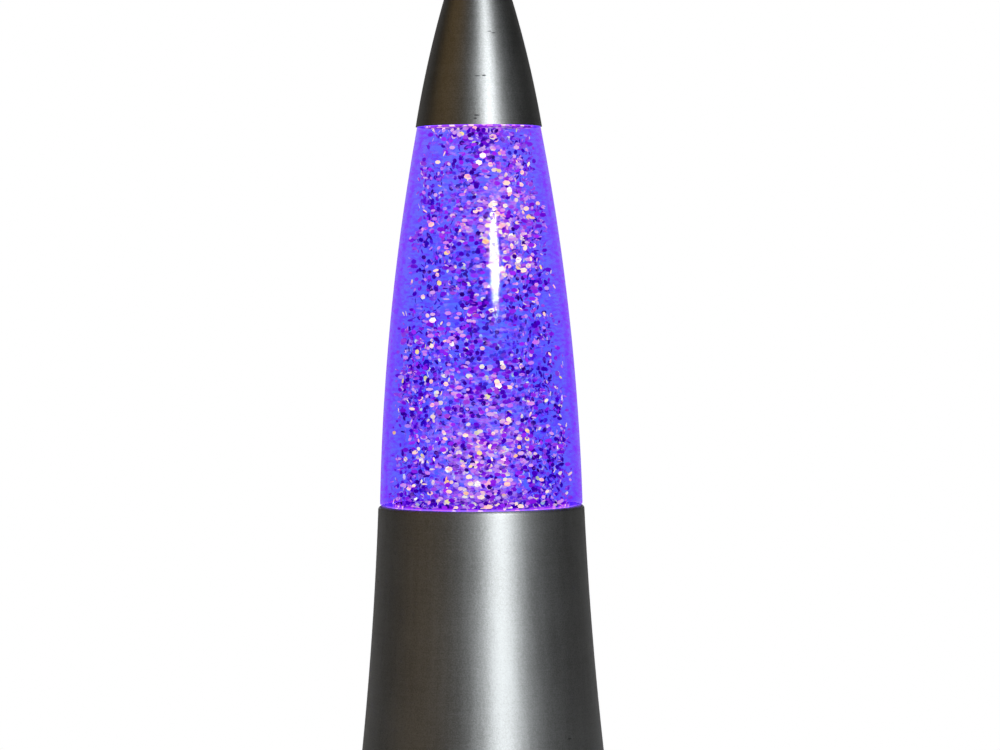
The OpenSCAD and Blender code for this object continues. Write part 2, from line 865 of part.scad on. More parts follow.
module holder_sleeve() {
    spigot_r = cup_in - seat_gap;
    top = cup_top + sleeve_h;
    shoulder = cup_top + seat_gap;
    color([0.93, 0.92, 0.88])
        rotate_extrude()
            polygon([
                [sleeve_in, sleeve_z], [spigot_r, sleeve_z], [spigot_r, shoulder], [cup_r, shoulder],
                [cup_r, shoulder + cup_lap], [spigot_r, shoulder + cup_lap + cup_wall],
                [spigot_r, top], [sleeve_in + sleeve_mouth, top], [sleeve_in, top - sleeve_mouth]
            ]);
}

module bulb_tip() {
    round_h = 0.4;
    color([0.75, 0.75, 0.72])
        translate([0, 0, tip_z])
            union() {
                cylinder(r1 = tip_r - round_h, r2 = tip_r, h = round_h);
                translate([0, 0, round_h])
                    cylinder(r = tip_r, h = tip_h - round_h);
            }
}

module bulb_insulator() {
    plug = screw_wall_r - rest_gap;
    plug_h = 3;
    rim = 0.4;
    color([0.05, 0.05, 0.06])
        translate([0, 0, tip_z + tip_h])
            union() {
                cylinder(r1 = tip_r + rim, r2 = plug, h = insulator_h);
                translate([0, 0, insulator_h])
                    cylinder(r = plug, h = plug_h);
            }
}

module bulb_screw_cap() {
    wave = thread_depth / 2;
    top = screw_z + screw_l;
    root = thread_r - wave;
    outside = thread_rings(screw_z + screw_lead_in, screw_turns * thread_pitch, thread_r, wave, root);
    foot_in = thread_ring(screw_z, screw_wall_r, 0);
    foot_out = thread_ring(screw_z, root, 0);
    top_out = thread_ring(top, root, 0);
    top_in = thread_ring(top, screw_wall_r, 0);
    color([0.8, 0.78, 0.72])
        ring_skin(concat([foot_out], outside, [top_out, top_in, foot_in]));
}

module bulb_glass() {
    color([0.95, 0.95, 0.92])
        rotate_extrude()
            polygon(concat(bulb_side(0), reverse(bulb_side(bulb_t))));
}

module bulb_stem() {
    flare_h = 2;
    stem_h = filament_z - bulb_neck_z - support_h;
    support_r = 0.35;
    spread = [support_x - stem_r / 2, support_h + over];
    color([0.85, 0.9, 0.9])
        translate([0, 0, bulb_neck_z]) {
            cylinder(r = bulb_neck_r - bulb_t - seat_gap, h = flare_h);
            cylinder(r = stem_r, h = stem_h);
            for (side = [-1, 1])
                translate([side * stem_r / 2, 0, stem_h - over])
                    rotate([0, side * atan2(spread[0], spread[1]), 0])
                        cylinder(r = support_r, h = norm(spread) - 2 * filament_r);
        }
}

module bulb_filament() {
    color([1, 0.85, 0.5])
        translate([-support_x, 0, filament_z])
            rotate([0, 90, 0])
                cylinder(r = filament_r, h = 2 * support_x);
}

module bottle() {
    heel_c = [plug_r - heel_round, bottle_z + heel_round];
    step_c = [side_low[0] - step_round, side_low[1]];
    outside = concat(
        [[0, bottle_z + punt_h], [plug_r - stand_w, bottle_z]],
        arc(heel_c, heel_round, -90, 0, edge_bands),
        [[plug_r, step_z]],
        arc(step_c, step_round, -90, 0, edge_bands),
        after_first(bottle_side(0)),
        [
            [neck_r, mouth_z - bead_h - bead_out], [bead_r, mouth_z - bead_h],
            [bead_r, mouth_z - bead_out], [bead_r - bead_out, mouth_z]
        ]
    );
    color([0.8, 0.85, 1, 0.35])
        rotate_extrude()
            polygon(concat(outside, [[neck_r - glass_t, mouth_z]], reverse(bottle_cavity(glass_t))));
}

module liquid() {
    inset = glass_t + liquid_gap;
    color([0.35, 0.3, 1, 0.6])
        intersection() {
            rotate_extrude()
                polygon(concat(bottle_cavity(inset), [[0, root_c[1]]]));
            cylinder(d = bottle_d, h = cap_z + level_h);
        }
}

// Flakes spread evenly through the liquid, each turned its own way
module glitter() {
    margin = glass_t + flake_d + 1;
    low = bottle_z + floor_t + punt_h + heel_round;
    high = cap_z - flake_d;
    color([0.85, 0.75, 1])
        for (i = [1 : flake_count]) {
            z = blend(low, high, fraction(i * spread_z));
            room = min(plug_r, bottle_radius(max(z, side_low[1]), 0)) - margin;
            rotate(360 * fraction(i * spread_turn))
                translate([room * sqrt(fraction(i * spread_r)), 0, z])
                    rotate([i * tumble, i * sway, 0])
                        cylinder(d = flake_d, h = flake_t, $fn = 6);
        }
}

module bottle_crown() {
    low = mouth_z - crown_h;
    skirt_h = crown_h - crown_top_h;
    mean_r = crown_top_r + flute_depth / 2;
    flutes = [
        for (i = [0 : 4 * crown_flutes - 1])
            let (a = 90 * i / crown_flutes)
            (mean_r + flute_depth / 2 * cos(crown_flutes * a)) * unit(a)
    ];
    color([0.8, 0.68, 0.35])
        difference() {
            union() {
                translate([0, 0, low])
                    linear_extrude(skirt_h)
                        polygon(flutes);
                translate([0, 0, low])
                    cylinder(r = crown_top_r, h = crown_z + crown_t - low);
            }
            translate([0, 0, low - over])
                cylinder(r = crown_in, h = crown_z - low + over);
        }
}

module crown_seal() {
    color([0.9, 0.9, 0.9])
        translate([0, 0, seal_z])
            cylinder(r = bead_r, h = seal_t);
}

module cap_shell() {
    color([0.45, 0.44, 0.42])
        rotate_extrude()
            polygon(concat(cap_side(0), reverse(cap_side(cap_t))));
}

module cap_collar() {
    wall_low = cap_radius(collar_z, cap_t) - seat_gap;
    wall_top = cap_radius(collar_top, cap_t) - seat_gap;
    grip_in = crown_max_r + collar_gap;
    grip_out = grip_in + collar_t;
    web_z = collar_z + (collar_h - collar_t) / 2;
    web_top = web_z + collar_t;
    slope = (wall_low - wall_top) / collar_h;
    color([0.92, 0.92, 0.9])
        rotate_extrude()
            polygon([
                [grip_in, collar_z], [grip_out, collar_z], [grip_out, web_z],
                [wall_low - slope * (web_z - collar_z) - collar_t, web_z],
                [wall_low - collar_t, collar_z], [wall_low, collar_z], [wall_top, collar_top],
                [wall_top - collar_t, collar_top],
                [wall_low - slope * (web_top - collar_z) - collar_t, web_top],
                [grip_out, web_top], [grip_out, collar_top], [grip_in, collar_top]
            ]);
}

base_shell();
cover_lugs();
bottle_seat();
seat_gasket();
bottom_cover();
cover_screws();
rubber_feet();
cord_gland();
terminal_block();
terminal_sleeves();
terminal_screws();
block_screw();
live_lead();
neutral_lead();
holder_bracket();
bracket_screws();
holder_nipple();
nipple_nut();
holder_cup();
holder_core();
holder_terminals();
holder_thread();
centre_contact();
holder_sleeve();
bulb_tip();
bulb_insulator();
bulb_screw_cap();
bulb_glass();
bulb_stem();
bulb_filament();
bottle();
liquid();
glitter();
bottle_crown();
crown_seal();
cap_shell();
cap_collar();
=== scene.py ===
"""The looks of the glitter lamp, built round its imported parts. Metres, +Z up, front towards -Y."""
import json
import math
import random
from collections import namedtuple

import bmesh
import bpy
from mathutils import Matrix, Vector, noise


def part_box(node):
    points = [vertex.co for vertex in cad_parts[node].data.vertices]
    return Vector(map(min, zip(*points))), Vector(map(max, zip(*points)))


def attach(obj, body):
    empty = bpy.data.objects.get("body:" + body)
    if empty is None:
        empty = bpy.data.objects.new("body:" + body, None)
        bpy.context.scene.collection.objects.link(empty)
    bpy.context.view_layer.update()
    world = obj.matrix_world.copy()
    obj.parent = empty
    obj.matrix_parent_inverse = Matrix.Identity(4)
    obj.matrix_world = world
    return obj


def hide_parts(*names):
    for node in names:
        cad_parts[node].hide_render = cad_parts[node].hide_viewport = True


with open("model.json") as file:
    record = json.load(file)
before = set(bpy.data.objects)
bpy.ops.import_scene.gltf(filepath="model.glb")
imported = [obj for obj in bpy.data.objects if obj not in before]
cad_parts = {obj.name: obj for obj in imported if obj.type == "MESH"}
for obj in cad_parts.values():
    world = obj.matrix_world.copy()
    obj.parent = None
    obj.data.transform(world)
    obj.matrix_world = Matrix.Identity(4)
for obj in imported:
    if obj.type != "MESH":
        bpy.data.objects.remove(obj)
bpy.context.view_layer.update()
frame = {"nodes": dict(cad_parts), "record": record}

MM = 0.001
ROUND_STEPS = 160
SHARP = 40
BLACK = (0.0, 0.0, 0.0)
WHITE = (1.0, 1.0, 1.0)


def corners(node, digits=1):
    """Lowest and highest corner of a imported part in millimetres, rounded to undo its mesh's facets."""
    return [[round(c / MM, digits) for c in corner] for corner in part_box(node)]


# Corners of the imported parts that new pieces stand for
BASE_LOW, BASE_HIGH = corners("base_shell")
CAP_HIGH = corners("cap_shell")[1]
GLAND_LOW, GLAND_HIGH = corners("cord_gland", 2)
FEET_HIGH = corners("rubber_feet")[1]
BULB_LOW, BULB_HIGH = corners("bulb_glass")
BOTTLE_LOW, BOTTLE_HIGH = corners("bottle")
LIQUID_HIGH = corners("liquid")[1]

# Heights of the base's rim and the cap's edge, and the glass that shows between them
RIM_Z = BASE_HIGH[2]
GLASS_SHOWN = 176.0
CAP_Z = RIM_Z + GLASS_SHOWN


class Wire:
    """A value in a material's nodes. Sums of wires add the nodes that work them out."""

    def __init__(self, tree, socket):
        self.tree = tree
        self.socket = socket

    def node(self, kind, settings=None, values=None, output=0):
        """Adds a node: its settings first, then the values or wires of its sockets."""
        made = self.tree.nodes.new("ShaderNode" + kind)
        for name, value in (settings or {}).items():
            setattr(made, name, value)
        for name, value in (values or {}).items():
            if isinstance(value, Wire):
                self.tree.links.new(value.socket, made.inputs[name])
            else:
                made.inputs[name].default_value = value
        return Wire(self.tree, made.outputs[output])

    def ray(self, kind):
        """1 for rays of a kind, such as those that the camera sends out, and else 0."""
        return self.node("LightPath", None, None, kind)

    def math(self, operation, first, second):
        return self.node("Math", {"operation": operation}, {0: first, 1: second})

    def __add__(self, other):
        return self.math("ADD", self, other)

    def __sub__(self, other):
        return self.math("SUBTRACT", self, other)

    def __rsub__(self, other):
        return self.math("SUBTRACT", other, self)

    def __mul__(self, other):
        return self.math("MULTIPLY", self, other)

    __radd__ = __add__
    __rmul__ = __mul__

    def larger(self, other):
        return self.math("MAXIMUM", self, other)

    def ease(self, low, high):
        """0 below low, 1 above high and smooth between, or the other way round where high is less."""
        low_out, high_out = (0, 1) if low < high else (1, 0)
        return self.node(
            "MapRange",
            {"interpolation_type": "SMOOTHSTEP"},
            {0: self, 1: min(low, high), 2: max(low, high), 3: low_out, 4: high_out},
        )

    def stretch(self, scale, shift=(0, 0, 0)):
        """The same coordinates, with each axis scaled by its own number and then shifted."""
        return self.node("Mapping", None, {0: self, 1: shift, 3: scale})

    def grain(self, scale=1, detail=2, roughness=0.5):
        return self.node(
            "TexNoise", None, {"Vector": self, "Scale": scale, "Detail": detail, "Roughness": roughness}
        )

    def cells(self, scale=1, output="Distance"):
        return self.node("TexVoronoi", None, {"Vector": self, "Scale": scale}, output)

    def red(self):
        return self.node("SeparateColor", None, {0: self})

    def tint(self, low, high):
        """A colour between two others, by this value."""
        return self.node("Mix", {"data_type": "RGBA"}, {0: self, 6: paint(low), 7: paint(high)}, 2)

    def bump(self, depth, strength):
        """A normal that rises with this value, by a depth in metres."""
        return self.node("Bump", None, {"Height": self, "Distance": depth, "Strength": strength})


def rgba(colour):
    return (*colour, 1)


def paint(colour):
    """What a colour socket takes: a wire as it is, or a plain colour with full cover."""
    return colour if isinstance(colour, Wire) else rgba(colour)


class Finish:
    """A new material with one main shader. Constants sit on the shader, wires are linked to it."""

    def __init__(self, name, **constants):
        self.material = bpy.data.materials.new(name)
        self.material.use_nodes = True
        tree = self.material.node_tree
        self.shader = tree.nodes["Principled BSDF"]
        self.output = tree.nodes["Material Output"]
        self.maker = Wire(tree, None)
        self.place = self.maker.node("TexCoord", None, None, "Object")
        self.set(**constants)

    def set(self, **values):
        for name, value in values.items():
            socket = self.shader.inputs[name.replace("_", " ")]
            if isinstance(value, Wire):
                self.maker.tree.links.new(value.socket, socket)
            elif isinstance(value, tuple):
                socket.default_value = rgba(value)
            else:
                socket.default_value = value

    def height(self):
        return self.maker.node("SeparateXYZ", None, {0: self.place}, "Z")

    def mark(self, name):
        """A number that the mesh carries face by face."""
        return self.maker.node("Attribute", {"attribute_name": name}, None, "Fac")

    def near(self, point, reach):
        """1 at a point and 0 past a reach from it along each axis, all in millimetres."""
        middle = tuple(p / r for p, r in zip(point, reach))
        spread = self.place.stretch(tuple(1 / (r * MM) for r in reach))
        away = self.maker.node("VectorMath", {"operation": "DISTANCE"}, {0: spread, 1: middle}, "Value")
        return away.ease(1, 0)

    def near_any(self, spots):
        """The same for several points, each with its own reach."""
        nearest, *others = (self.near(*spot) for spot in spots)
        for other in others:
            nearest = nearest.larger(other)
        return nearest

    def fill(self, kind, values):
        """Gives the material an inside."""
        inside = self.maker.node(kind, None, values)
        self.maker.tree.links.new(inside.socket, self.output.inputs["Volume"])


# Small dark nicks on the front of the cap: where, and how far along each axis
NICKS = (
    ((-0.9, -28.7, 303.1), (2.0, 6, 0.4)),
    ((-1.6, -29.0, 301.7), (1.3, 6, 0.35)),
    ((2.5, -25.0, 321.4), (1.4, 6, 0.55)),
    ((-0.4, -25.0, 321.2), (2.0, 6, 0.3)),
    ((5.0, -19.6, 341.9), (1.5, 6, 0.3)),
    ((7.0, -19.0, 341.2), (1.5, 6, 0.35)),
)
SHEET_DARK = (0.185, 0.18, 0.172)
SHEET_LIGHT = (0.335, 0.331, 0.325)
SCUFF_GREY = (0.14, 0.137, 0.132)
NICK_BLACK = (0.03, 0.03, 0.032)


def satin_metal():
    """Grey sheet, brushed round, with fine specks, faint wipe marks, a few scuffs and the nicks."""
    finish = Finish("satin_metal", Metallic=1.0, Anisotropic=0.6, Anisotropic_Rotation=0.25)
    specks = finish.place.grain(1500, 3, 0.7)
    lines = finish.place.stretch((22, 22, 2400)).grain(1, 2, 0.6)
    clouds = finish.place.grain(28, 3)
    wipes = finish.place.stretch((260, 260, 14)).grain(1, 3, 0.6)
    scuff_place = finish.place.stretch((150, 150, 520), (3, 5, 2))
    scuffs = scuff_place.cells().ease(0.3, 0.12) * scuff_place.cells(1, "Color").red().ease(0.994, 0.997)
    nicks = finish.near_any(NICKS)
    tone = specks * 0.55 + lines * 0.12 + clouds * 0.18 + wipes * 0.15
    metal = tone.ease(0.3, 0.7).tint(SHEET_DARK, SHEET_LIGHT)
    scuffed = scuffs.tint(metal, SCUFF_GREY)
    finish.set(
        Base_Color=nicks.ease(0, 0.6).tint(scuffed, NICK_BLACK),
        Roughness=0.422 + specks * 0.1 + lines * 0.04 + clouds * 0.05 + wipes * 0.04,
        Normal=(specks * 0.85 + lines * 0.15 - scuffs * 0.6).bump(0.00012, 0.4),
    )
    return finish.material


def plated_steel():
    """Zinc plated sheet and screws, a little dull in patches."""
    finish = Finish("plated_steel", Metallic=1.0)
    specks = finish.place.grain(900, 3, 0.6)
    patches = finish.place.grain(60, 2)
    finish.set(
        Base_Color=patches.ease(0.3, 0.7).tint((0.47, 0.46, 0.44), (0.62, 0.61, 0.58)),
        Roughness=0.28 + specks * 0.14 + patches * 0.08,
        Normal=specks.bump(0.0001, 0.3),
    )
    return finish.material


def bare_metal(name, bright, dull):
    """Solid metal that tarnishes in patches, such as brass or nickel plate."""
    finish = Finish(name, Metallic=1.0)
    specks = finish.place.grain(700, 3, 0.6)
    tarnish = finish.place.grain(120, 3)
    finish.set(
        Base_Color=tarnish.ease(0.35, 0.75).tint(bright, dull),
        Roughness=0.24 + specks * 0.1 + tarnish * 0.12,
        Normal=specks.bump(0.0001, 0.25),
    )
    return finish.material


def gold_tin():
    """Lacquered tinplate of the bottle's crown, rubbed on its flutes."""
    finish = Finish("gold_tin", Metallic=1.0, Coat_Roughness=0.12)
    specks = finish.place.grain(800, 3, 0.6)
    rubs = finish.place.stretch((500, 500, 60)).grain(1, 3)
    finish.set(
        Base_Color=rubs.ease(0.45, 0.8).tint((0.7, 0.5, 0.19), (0.78, 0.68, 0.48)),
        Roughness=0.26 + rubs * 0.16,
        Coat_Weight=0.6 - rubs * 0.4,
        Normal=specks.bump(0.00008, 0.25),
    )
    return finish.material


def moulded(name, colour, shade, rough, grain_depth):
    """A moulded plastic or rubber with a fine skin texture and a little unevenness of colour."""
    finish = Finish(name)
    skin = finish.place.grain(1100, 3, 0.6)
    patches = finish.place.grain(45, 3)
    finish.set(
        Base_Color=(patches * 0.7 + skin * 0.3).ease(0.3, 0.7).tint(shade, colour),
        Roughness=rough - 0.08 + skin * 0.12 + patches * 0.05,
        Normal=skin.bump(grain_depth, 0.5),
    )
    return finish.material


def silvered_glass():
    """The bulb's sides: mirror silver behind clear glass, slightly uneven."""
    finish = Finish("silvered_glass", Metallic=1.0, Coat_Weight=1.0, Coat_Roughness=0.03)
    ripple = finish.place.grain(90, 2)
    finish.set(
        Base_Color=ripple.ease(0.3, 0.7).tint((0.74, 0.73, 0.7), (0.86, 0.85, 0.82)),
        Roughness=0.1 + ripple * 0.1,
        Normal=ripple.bump(0.0004, 0.3),
    )
    return finish.material


# Heights between which the light on the bulb's face grows
FACE_LIT_Z = (BULB_HIGH[2] - 13.0, BULB_HIGH[2] + 0.5)


def frosted_face():
    """The bulb's face, etched inside and lit: brightest round the middle."""
    finish = Finish("frosted_face", Emission_Strength=1.0)
    etch = finish.place.grain(1200, 3, 0.6)
    lit = finish.height().ease(*(z * MM for z in FACE_LIT_Z)) * 0.8 + etch * 0.2
    finish.set(
        Base_Color=etch.tint((0.72, 0.68, 0.6), (0.85, 0.82, 0.75)),
        Roughness=0.45 + etch * 0.15,
        Emission_Color=lit.tint((0.7, 0.38, 0.14), (1.0, 0.83, 0.55)),
        Normal=etch.bump(0.00006, 0.4),
    )
    return finish.material


def clear_stem():
    """Pressed glass inside the bulb."""
    finish = Finish("clear_stem", Transmission_Weight=1.0, IOR=1.5)
    seeds = finish.place.grain(400, 2)
    finish.set(Base_Color=seeds.tint((0.86, 0.9, 0.9), (0.96, 0.98, 0.98)), Roughness=0.05 + seeds * 0.1)
    return finish.material


def hot_wire():
    """The bulb's filament, with bright and dark turns along it."""
    finish = Finish("hot_wire", Base_Color=(0.3, 0.2, 0.1), Roughness=0.5, Emission_Strength=2.0)
    coils = finish.place.stretch((2600, 0, 0)).grain(1, 1)
    finish.set(Emission_Color=coils.ease(0.35, 0.65).tint((1.0, 0.5, 0.15), (1.0, 0.85, 0.5)))
    return finish.material


# Tints of the glass and the liquid, and their strength per metre of way
GLASS_DYE = (0.46, 0.0, 1.0)
GLASS_TINT = 42.0
LIQUID_DYE = (0.0, 0.58, 1.0)
LIQUID_TINT = 20.0

# Thin and thick places of the lacquer, and its blots
LACQUER_THIN = (0.38, 0.33, 1.0)
LACQUER_THICK = (0.345, 0.3, 1.0)
LACQUER_BLOT = (0.42, 0.125, 1.0)

# Two narrow bands of the glass with a painted violet glow, which stands for light that the rims throw back:
# at the base's rim and at the cap's edge, how far above it each starts, is full, starts to fade and ends
RIM_BAND = (-3.8, -1.8, -0.2, 1.1)
CAP_BAND = (-0.8, 0.2, 2.0, 3.0)
CAP_BAND_SHARE = 0.7
PAINTED_BAND_GLOW = (0.3, 0.14, 0.85)


def band(height, edge, above):
    """1 in the middle of a band of heights above an edge, and 0 outside it."""
    start, full, fade, end = ((edge + distance) * MM for distance in above)
    return height.ease(start, full) * height.ease(end, fade)


def bottle_glass():
    """Violet lacquered glass that the liquid wets: it shines outside, and light goes straight through it."""
    finish = Finish("bottle_glass", Transmission_Weight=1.0, Roughness=0.0, IOR=1.0)
    finish.set(Coat_Roughness=0.078, Coat_IOR=1.48)
    draw = finish.place.stretch((420, 420, 9)).grain(1, 3, 0.6)
    smears = finish.place.grain(60, 3)
    blots = finish.place.stretch((190, 190, 600)).grain(1, 2, 0.6)
    outside = finish.mark("outside")
    lacquer = smears.tint(LACQUER_THICK, LACQUER_THIN)
    lacquer = blots.ease(0.48, 0.6).tint(lacquer, LACQUER_BLOT)
    height = finish.height()
    # Painted violet glow in two bands, standing for light that the rims throw back
    bands = band(height, RIM_Z, RIM_BAND).larger(band(height, CAP_Z, CAP_BAND) * CAP_BAND_SHARE)
    finish.set(
        Base_Color=outside.tint(WHITE, lacquer),
        Coat_Weight=outside * (0.11 + draw.ease(0.3, 0.7) * 0.09),
        Emission_Color=bands.tint(BLACK, PAINTED_BAND_GLOW),
        Emission_Strength=1.0,
    )
    finish.fill("VolumeAbsorption", {"Color": rgba(GLASS_DYE), "Density": GLASS_TINT})
    return finish.material


def violet_liquid():
    """Clear dyed liquid: the longer the way through it, the bluer what is behind it."""
    finish = Finish("violet_liquid", Transmission_Weight=1.0, Roughness=0.0, IOR=1.0)
    streams = finish.place.stretch((40, 40, 26)).grain(1, 3)
    finish.set(Base_Color=streams.ease(0.3, 0.7).tint((0.92, 0.88, 1.0), WHITE))
    finish.fill("VolumeAbsorption", {"Color": rgba(LIQUID_DYE), "Density": LIQUID_TINT})
    return finish.material


def lit_haze(name, shift, low, high, cover, glow):
    """Painted light that stands for what the flakes scatter deep in the liquid: soft patches in front of a
    faint glow.

    The patches go from the low to the high colour, which is also that of the swarms.
    """
    finish = Finish(name, Base_Color=BLACK, Roughness=1.0, Specular_IOR_Level=0.0)
    drift = finish.place.stretch((230, 230, 500), shift).grain(1, 3, 0.6)
    hue = finish.place.stretch((120, 120, 220), shift).grain(1, 2)
    swarm = finish.near_any(HAZE_SWARMS)
    finish.set(
        Alpha=(drift + swarm * 0.1).ease(0.55, 0.68) * cover,
        Emission_Color=(hue + swarm * 0.2).ease(0.35, 0.65).tint(low, high),
        Emission_Strength=1.0,
    )
    finish.fill("Emission", {"Color": rgba(glow), "Strength": 1.0})
    return finish.material


# Colours of the imported flakes' painted glow: the darkest, the others with the range where each takes over,
# and the gaps
BED_NAVY = (0.03, 0.0, 0.15)
BED_COLOURS = (
    ((0.26, 0.3), (0.5, 0.05, 0.75)),
    ((0.5, 0.54), (1.4, 0.6, 0.9)),
    ((0.8, 0.82), (1.9, 1.75, 0.65)),
)
BED_GAP = (0.45, 0.02, 0.7)


def lit_bed():
    """Flakes that lie packed at the bottom and the top of the liquid, painted as glowing with the bulb's
    light.
    """
    finish = Finish("lit_bed", Base_Color=BLACK, Roughness=1.0, Specular_IOR_Level=0.0)
    heap = finish.place.stretch((340, 340, 500))
    flake = heap.cells(1, "Color").red()
    colour = BED_NAVY
    for change, next_colour in BED_COLOURS:
        colour = flake.ease(*change).tint(colour, next_colour)
    colour = heap.cells().ease(0.48, 0.58).tint(colour, BED_GAP)
    finish.set(Emission_Color=colour, Emission_Strength=1.0)
    return finish.material


FOIL_SHADE = (0.02, 0.0, 0.05)


def flake_foil(name, inward, dull, bright, strength):
    """Foil flakes whose painted glow stands for the bulb's light they pick up, each by its own amount,
    between dull and bright.

    The sides that are turned inwards have a painted glow of their own.
    """
    finish = Finish("flakes_" + name, Base_Color=FOIL_SHADE, Specular_IOR_Level=0.0)
    finish.set(Emission_Strength=strength)
    shimmer = finish.place.grain(900, 2)
    lit = finish.mark("lit")
    colour = (lit * 0.85 + shimmer * 0.15).tint(dull, bright)
    finish.set(Emission_Color=lit.ease(-0.2, -0.8).tint(colour, inward), Roughness=0.3 + shimmer * 0.2)
    return finish.material


def arc(centre, radius, start, end, steps):
    """Points on an arc of the outline, by angles in degrees."""
    turns = [math.radians(start + (end - start) * k / steps) for k in range(steps + 1)]
    return [(centre[0] + radius * math.cos(a), centre[1] + radius * math.sin(a)) for a in turns]


def bow(low, high, bulge, inset=0.0, steps=40):
    """Points on the curve from low up to high that stands out by bulge, inset towards the axis."""
    p, q = Vector(low), Vector(high)
    step = q - p
    out = Vector((step.y, -step.x)).normalized()
    radius = (step.length_squared / 4 + bulge * bulge) / (2 * abs(bulge))
    sign = math.copysign(1, bulge)
    centre = (p + q) / 2 + out * (bulge - sign * radius)
    start = math.degrees(math.atan2(p.y - centre.y, p.x - centre.x))
    end = math.degrees(math.atan2(q.y - centre.y, q.x - centre.x))
    sweep = (end - start + 540) % 360 - 180
    return arc(centre, radius - sign * inset, start, start + sweep, steps)


def turned(*outlines, steps=ROUND_STEPS, slots=None, mark=None):
    """A closed shape turned about Z from outlines of radii and heights in millimetres.

    Each outline's faces take its material slot, or else its place in the list.
    The first outline's faces carry the mark, if there is one.
    """
    shape = bmesh.new()
    layer = shape.faces.layers.float.new(mark) if mark else None
    for k, outline in enumerate(outlines):
        before = set(shape.faces)
        points = [shape.verts.new((r * MM, 0, z * MM)) for r, z in outline]
        edges = [shape.edges.new(pair) for pair in zip(points, points[1:])]
        bmesh.ops.spin(
            shape, geom=points + edges, axis=(0, 0, 1), cent=(0, 0, 0),
            angle=2 * math.pi, steps=steps, use_merge=True,
        )
        for face in set(shape.faces) - before:
            face.material_index = slots[k] if slots else k
            if layer and k == 0:
                face[layer] = 1.0
    bmesh.ops.remove_doubles(shape, verts=shape.verts, dist=1e-6)
    bmesh.ops.recalc_face_normals(shape, faces=shape.faces)
    return shape


def piece(name, shape, body, materials, replaced, sharp=SHARP):
    """Makes the shape an object that rides on a body and stands for the named parts.

    Edges that bend by more than the sharp angle, in degrees, stay sharp.
    """
    mesh = bpy.data.meshes.new(name)
    shape.to_mesh(mesh)
    shape.free()
    for material in materials:
        mesh.materials.append(material)
    mesh.shade_smooth()
    mesh.set_sharp_from_angle(angle=math.radians(sharp))
    made = bpy.data.objects.new(name, mesh)
    bpy.context.scene.collection.objects.link(made)
    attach(made, body)
    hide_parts(*replaced)
    return made


def drill(made, shape):
    """Takes a shape out of a piece, and leaves nothing of the cutter."""
    mesh = bpy.data.meshes.new("drill")
    shape.to_mesh(mesh)
    shape.free()
    cutter = bpy.data.objects.new("drill", mesh)
    bpy.context.scene.collection.objects.link(cutter)
    cut = made.modifiers.new("hole", "BOOLEAN")
    cut.object = cutter
    bored = bpy.data.meshes.new_from_object(made.evaluated_get(bpy.context.evaluated_depsgraph_get()))
    made.modifiers.remove(cut)
    old, made.data = made.data, bored
    bpy.data.objects.remove(cutter)
    bpy.data.meshes.remove(mesh)
    bpy.data.meshes.remove(old)
    bored.name = made.name
    bored.set_sharp_from_angle(angle=math.radians(SHARP))


# Radii and heights of outlines in millimetres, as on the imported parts
EDGE_ROUND = 1.6
FOOT = (BASE_HIGH[0], BASE_LOW[2] + EDGE_ROUND)
BROW = (48.1, RIM_Z - EDGE_ROUND)
SKIRT_BOW = -1.0
SHEET = 1.0
LIP_R = 44.9
GLAND_Z = (GLAND_LOW[2] + GLAND_HIGH[2]) / 2
GLAND_HOLE_R = 5.0
DRILL_LENGTH = 20.0
CAP_EDGE = (CAP_HIGH[0], CAP_Z)
NOSE_R = 9.5
NOSE_Z = CAP_HIGH[2] - NOSE_R
NOSE_LEAN = 19.0
CAP_SHEET = 0.5


def make_base(metal):
    """The base's sheet: a hem, a hollowed skirt, a rim turned in, and the hole for the cord's bush."""
    hem = (FOOT[0] - EDGE_ROUND, FOOT[1])
    rim = (BROW[0] - EDGE_ROUND, BROW[1])
    outline = arc(hem, EDGE_ROUND, -90, 0, 8)[:-1]
    outline += bow(FOOT, BROW, SKIRT_BOW)
    outline += arc(rim, EDGE_ROUND, 0, 90, 8)[1:]
    outline += [(LIP_R, RIM_Z), (LIP_R, RIM_Z - SHEET)]
    outline += arc(rim, EDGE_ROUND - SHEET, 90, 0, 6)[:-1]
    outline += bow(FOOT, BROW, SKIRT_BOW, SHEET)[::-1]
    outline += arc(hem, EDGE_ROUND - SHEET, 0, -90, 6)[1:]
    outline += outline[:1]
    made = piece("base_skin", turned(outline), "lamp_base", [metal], ["base_shell"])
    hole = bmesh.new()
    back = Matrix.Translation((0, FOOT[0] * MM, GLAND_Z * MM)) @ Matrix.Rotation(math.pi / 2, 4, "X")
    bmesh.ops.create_cone(
        hole, cap_ends=True, segments=48, radius1=GLAND_HOLE_R * MM, radius2=GLAND_HOLE_R * MM,
        depth=DRILL_LENGTH * MM, matrix=back,
    )
    drill(made, hole)


def make_cap(metal):
    """The cap's sheet: a slightly bowed cone that runs into a round nose without a corner."""
    nose = (0.0, NOSE_Z)
    nose_start = arc(nose, NOSE_R, NOSE_LEAN, 90, 1)[0]
    slope = math.atan2(CAP_EDGE[0] - nose_start[0], nose_start[1] - CAP_EDGE[1])
    bend = math.radians(NOSE_LEAN) - slope
    bulge = math.dist(CAP_EDGE, nose_start) / 2 * math.tan(bend / 2)
    outline = bow(CAP_EDGE, nose_start, bulge)
    outline += arc(nose, NOSE_R, NOSE_LEAN, 90, 16)[1:]
    outline += arc(nose, NOSE_R - CAP_SHEET, 90, NOSE_LEAN, 16)
    outline += bow(CAP_EDGE, nose_start, bulge, CAP_SHEET)[::-1][1:]
    outline += outline[:1]
    piece("cap_skin", turned(outline), "top_cap", [metal], ["cap_shell"])


GLAND_Y = (GLAND_LOW[1], GLAND_HIGH[1])
GLAND_FLANGE = (GLAND_HIGH[0], 2.0)
GLAND_NECK_R = 4.9
GLAND_BORE_R = 3.3
LIP_ROUND = 0.7


